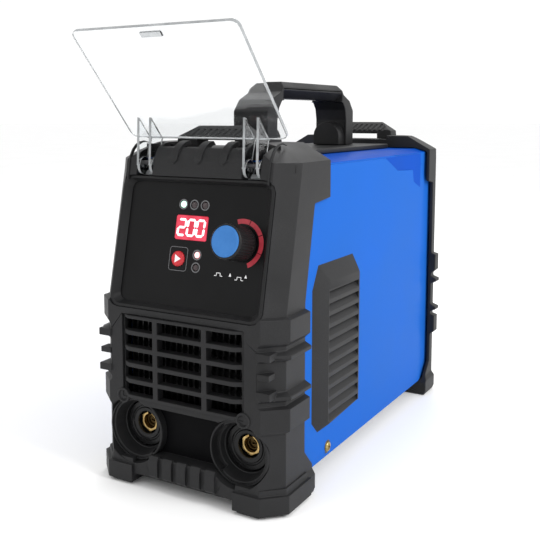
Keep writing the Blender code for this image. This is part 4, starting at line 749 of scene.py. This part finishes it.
def build_knob():
    """A fluted knob with a sunk blue disc."""
    radius, back, front = 12.2, 6.4, -14.4
    flutes, outline = 36, []
    for number in range(flutes):
        for share, depth in ((0.0, 0.0), (0.3, 0.0), (0.5, 0.45), (0.8, 0.45)):
            angle = math.tau * (number + share) / flutes
            outline.append(((radius - depth) * math.cos(angle), (radius - depth) * math.sin(angle)))
    body = add_plate(outline, "Y", front + 1.2, back - 1.6)
    collar = [(0.0, front), (radius - 1.0, front), (radius - 0.1, front + 0.9), (radius - 0.1, front + 2.2),
              (0.0, front + 2.2)]
    skirt = [(0.0, back - 3.0), (radius - 0.3, back - 3.0), (radius + 0.1, back - 2.4), (radius + 0.1, back),
             (0.0, back)]
    for profile in (collar, skirt):
        combine(body, add_turned(profile, (0, 0, 0)))
    disc_seat = [(0.0, front - 2.0), (11.2, front - 2.0), (10.9, front + 1.6), (0.0, front + 1.6)]
    bushing_room = [(0.0, back - 3.0), (8.9, back - 3.0), (8.9, back + 2.0), (0.0, back + 2.0)]
    shaft_bore = [(0.0, -2.4), (2.8, -2.4), (2.8, back), (0.0, back)]
    for profile in (disc_seat, bushing_room, shaft_bore):
        combine(body, add_turned(profile, (0, 0, 0)), "DIFFERENCE")
    body.data.transform(Matrix.Translation((KNOB_AT[0], 0.0, KNOB_AT[1])))
    settle(body, PANEL)
    soften(body, 0.25)
    hand_over(body, "knob_body", SOFT_BLACK, "knob", "black_abs", "control_knob")

    disc = [(0.0, -14.5), (5.0, -14.55), (9.0, -14.75), (10.1, -14.8), (10.7, -14.4), (10.7, -13.1), (0.0, -13.1)]
    disc = shade(settle(add_turned(disc, (KNOB_AT[0], 0.0, KNOB_AT[1]), 64), PANEL))
    hand_over(disc, "knob_disc", KNOB_BLUE, "knob", "blue_abs", "knob_cap")


# ---------------------------------------------------------------------------------------------
# Sockets


def build_sockets():
    for side, x in SOCKETS.items():
        centre = (x, 0.0, SOCKET_HEIGHT)
        collar = [(22.2, 16.0), (22.2, 5.5), (22.5, 5.1), (23.4, 5.1), (23.9, 5.6), (23.9, 16.0)]
        collar = shade(settle(add_turned(collar, centre, 96), DESIGN))
        hand_over(collar, "socket_collar_" + side, BLACK, "machine", "black_abs")
        ring = [(8.6, 18.6), (9.6, 18.0), (11.6, 18.0), (12.2, 18.7), (13.2, 18.7), (13.8, 18.0), (16.6, 18.0),
                (17.8, 19.2), (17.8, 22.0), (12.5, 22.0), (12.5, 38.0), (8.6, 38.0)]
        ring = shade(settle(add_turned(ring, centre, 64), DESIGN))
        hand_over(ring, "socket_ring_" + side, GLOSS_BLACK, "machine", "black_abs", "socket_flange_" + side)

        hexagon = [(x + 8.25 * math.cos(math.radians(a)), SOCKET_HEIGHT + 8.25 * math.sin(math.radians(a)))
                   for a in range(30, 390, 60)]
        brass = add_plate(hexagon, "Y", 21.5, 28.0)
        combine(brass, add_turned([(0.0, 26.5), (7.4, 26.5), (7.4, 47.5), (0.0, 47.5)], centre))
        combine(brass, add_turned([(0.0, 47.0), (4.0, 47.0), (4.0, 59.5), (0.0, 59.5)], centre))
        # Rounded hexagon corners and a countersunk mouth
        rim = [(7.3, 21.0), (12.0, 21.0), (12.0, 23.6)]
        bore = [(0.0, 20.0), (6.4, 20.0), (5.3, 22.1), (5.3, 43.5), (0.0, 43.5)]
        for profile in (rim, bore):
            combine(brass, add_turned(profile, centre), "DIFFERENCE")
        key = add_block((x - 1.6, x + 1.6), (20.0, 40.0), (SOCKET_HEIGHT + 4.0, SOCKET_HEIGHT + 7.4))
        combine(brass, key, "DIFFERENCE")
        # The plug's locking peg in the bore
        combine(brass, add_block((x - 6.2, x - 3.6), (27.0, 30.0), (SOCKET_HEIGHT - 1.5, SOCKET_HEIGHT + 1.5)))
        settle(brass, DESIGN)
        soften(brass, 0.25)
        surface = turned_brass("machined_brass_" + side, at(*centre))
        hand_over(brass, "socket_brass_" + side, surface, "machine", "brass", "socket_insert_" + side)

        # The core deep in the bore is in the darker brass.
        core = [(0.0, 25.6), (1.6, 25.6), (1.6, 27.0), (3.4, 27.0), (3.8, 25.2), (4.6, 25.2), (4.9, 26.0),
                (4.9, 42.0), (0.0, 42.0)]
        core = add_turned(core, centre, 40)
        slot = add_block((x - 1.2, x + 6.0), (24.0, 27.5), (SOCKET_HEIGHT - 0.9, SOCKET_HEIGHT + 0.9))
        combine(core, slot, "DIFFERENCE")
        core = shade(settle(core, DESIGN))
        hand_over(core, "socket_core_" + side, DARKER_BRASS, "machine", "brass")


# ---------------------------------------------------------------------------------------------
# Cover


def build_cover():
    cover = copy_node("flip_cover", "clear_cover")
    settle(cover, COVER.inverted())
    # A finger lip near the free edge
    lip = add_block((-8.5, 8.5), (18.0, 19.7), (97.5, 101.5))
    combine(cover, lip)
    # A full round eye at the foot of every rib
    for x in (-50.9, -40.1, 40.1, 50.9):
        eye = add_turned([(2.1, -1.25), (6.6, -1.25), (6.6, 1.25), (2.1, 1.25)], (0, 0, 0), 40)
        eye.data.transform(Matrix.Translation((x, 0.0, -3.2)) @ Matrix.Rotation(math.radians(90), 4, "Z"))
        combine(cover, eye)
    settle(cover, COVER)
    soften(cover, 0.4)
    hand_over(cover, "clear_cover", CLEAR, "cover", "clear_polycarbonate", "flip_cover")
    cover.data.materials.append(EDGE_LIGHT_AND_SHADE)
    # The thin edge faces take the painted edge light and shade; the broad faces stay clear.
    inverse = COVER.inverted()
    for face in cover.data.polygons:
        place, normal = inverse @ face.center, (inverse.to_3x3() @ face.normal).normalized()
        on_plate = place.y > 19.2 and place.z > 6.5
        broad = abs(normal.y) if on_plate else abs(normal.x)
        face.material_index = int(broad < 0.9)


def build_hinges():
    """Black pins, and black walls that close the pockets behind them."""
    for side, x in HINGE_X.items():
        low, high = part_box("hinge_pin_" + side)
        half, radius = (high.x - low.x) / 2 / MM, (high.z - low.z) / 2 / MM
        rod = add_turned([(0.0, -half), (radius - 0.3, -half), (radius, 0.3 - half),
                          (radius, half - 0.3), (radius - 0.3, half), (0.0, half)], (0, 0, 0), 24)
        rod.data.transform(Matrix.Translation((x, *HINGE)) @ Matrix.Rotation(math.radians(90), 4, "Z"))
        shade(settle(rod, DESIGN))
        hand_over(rod, "hinge_rod_" + side, BLACK_OXIDE, "machine", "zinc_steel", "hinge_pin_" + side)
        wall = [(39.2, 219.0), (39.2, 250.5), (40.2, 250.5), (40.2, 217.8), (27.0, 217.8), (27.0, 219.0)]
        liner = add_plate(wall, "X", x - 13.0, x + 13.0)
        soften(settle(liner, DESIGN), 0.2)
        hand_over(liner, "hinge_pocket_" + side, SOFT_BLACK, "machine", "black_abs")


# ---------------------------------------------------------------------------------------------
# Case, vents, screws and handle


def build_case():
    case = copy_node("case_shell", "steel_case")
    soften(case, 0.3)
    hand_over(case, "steel_case", BLUE, "machine", "blue_paint", "case_shell")
    case.data.materials.append(SHADED_BLUE)
    # Faces that face upwards take the darker blue, as painted shade on the top and its fold.
    for face in case.data.polygons:
        face.material_index = int(face.normal.z > 0.3)
    for side, sign in (("left", -1), ("right", 1)):
        outline = [(46.0, 30.0), (60.0, 19.0), (276.0, 19.0), (284.0, 30.0), (284.0, 204.0), (265.0, 211.0),
                   (262.0, 222.0), (224.0, 223.5), (195.0, 235.6), (46.0, 235.6)]
        plate = add_plate(outline, "X", *sorted((sign * 72.0, sign * 73.8)))
        soften(settle(plate, DESIGN), 0.35)
        hand_over(plate, "case_side_" + side, BLUE, "machine", "blue_paint")
        # Each sunk rear corner is painted in the darker blue too, as painted shade.
        sunk = [(192.0, 200.0), (284.5, 200.0), (284.5, 236.0), (192.0, 236.0)]
        corner = add_plate(sunk, "X", *sorted((sign * 71.6, sign * 73.15)))
        soften(settle(corner, DESIGN), 0.15)
        hand_over(corner, "case_corner_" + side, SHADED_BLUE, "machine", "blue_paint")
    for side in ("left", "right"):
        vent = copy_node("side_vent_" + side, "vent_louvre_" + side)
        soften(vent, 0.5)
        hand_over(vent, "vent_louvre_" + side, BLACK, "machine", "black_abs", "side_vent_" + side)


def build_case_screws():
    """Pan heads with a cross recess."""
    for side, sign in (("left", -1), ("right", 1)):
        head = [(0.0, 0.0), (2.2, 0.05), (3.2, 0.45), (3.75, 1.2), (3.8, 2.2), (2.0, 2.2), (2.0, 10.0), (0.0, 10.0)]
        screw = add_turned(head, (0.0, 0.0, 0.0), 32)
        for width, height in ((0.45, 1.9), (1.9, 0.45)):
            arm = add_block((-width, width), (-1.0, 1.1), (-height, height))
            combine(screw, arm, "DIFFERENCE")
        washer = add_turned([(3.0, 1.6), (4.9, 1.6), (5.2, 1.9), (5.2, 2.25), (3.0, 2.25)], (0, 0, 0))
        low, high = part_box("case_screw_" + side)
        outer = (high.x if sign > 0 else low.x) / MM + 1.8 * sign
        middle = ((low + high) / 2 - at(0, 0, 0)) / MM
        turn = Matrix.Rotation(math.radians(90 * sign), 4, "Z") @ Matrix.Rotation(math.radians(25), 4, "Y")
        for piece in (screw, washer):
            piece.data.transform(Matrix.Translation((outer, middle.y, middle.z)) @ turn)
            shade(settle(piece, DESIGN))
        hand_over(washer, "case_washer_" + side, BLACK_OXIDE, "machine", "yellow_zinc")
        hand_over(screw, "case_bolt_" + side, YELLOW_ZINC, "machine", "yellow_zinc", "case_screw_" + side)


def build_handle():
    handle = copy_node("handle", "carry_handle")
    soften(handle, 0.9, 2, 24)
    hand_over(handle, "carry_handle", SOFT_BLACK, "machine", "black_abs", "handle")
    plate = copy_node("handle_base", "handle_plate")
    soften(plate, 1.0)
    hand_over(plate, "handle_plate", BLACK, "machine", "black_abs", "handle_base")


# ---------------------------------------------------------------------------------------------
# Rear


def build_rear():
    rear = copy_node("rear_bezel", "rear_moulding")
    soften(rear, 0.8)
    hand_over(rear, "rear_moulding", BLACK, "machine", "black_abs", "rear_bezel")
    for node, name, slot, surface, width in (
        ("rear_grille", "exhaust_grille", "black_abs", BLACK, 0.5),
        ("power_switch", "switch_frame", "black_abs", GLOSS_BLACK, 0.5),
        ("cable_gland", "cable_gland_body", "black_abs", SOFT_BLACK, 0.5),
        ("fan_frame", "fan_housing", "fan_plastic", FAN_BLACK, 0.4),
    ):
        piece = copy_node(node, name)
        soften(piece, width)
        hand_over(piece, name, surface, "machine", slot, node)
    rotor = copy_node("fan_rotor", "fan_blades")
    soften(rotor, 0.3)
    hand_over(rotor, "fan_blades", FAN_BLACK, "fan", "fan_plastic", "fan_rotor")
    rocker = copy_node("power_rocker", "rocker_key")
    soften(rocker, 0.5)
    hand_over(rocker, "rocker_key", KEY_RED, "rocker", "red_key", "power_rocker")


def finish_cad_nodes():
    """Every CAD node that still shows gets the finish of its own slot."""
    finishes = {**SLOT_FINISH, "brass": turned_brass("machined_brass", at(0, 0, SOCKET_HEIGHT))}
    finish_of = {row["node"]: finishes[row["material_slot"]] for row in frame["record"]["subparts"]}
    for name, node in frame["nodes"].items():
        node.data.materials.clear()
        node.data.materials.append(finish_of[name])


set_up_camera()
set_up_studio()
finish_cad_nodes()
build_front_moulding()
build_feet()
build_hood_lines()
build_hood_corners()
build_front_grille()
build_panel_surround()
build_crest("front_crest", "front_strap_bar", 47.0, 30.0)
build_crest("rear_crest", "rear_strap_bar", 314.0, 26.0)
build_display()
build_panel_prints()
build_mode_key()
build_knob()
build_sockets()
build_cover()
build_hinges()
build_case()
build_case_screws()
build_handle()
build_rear()
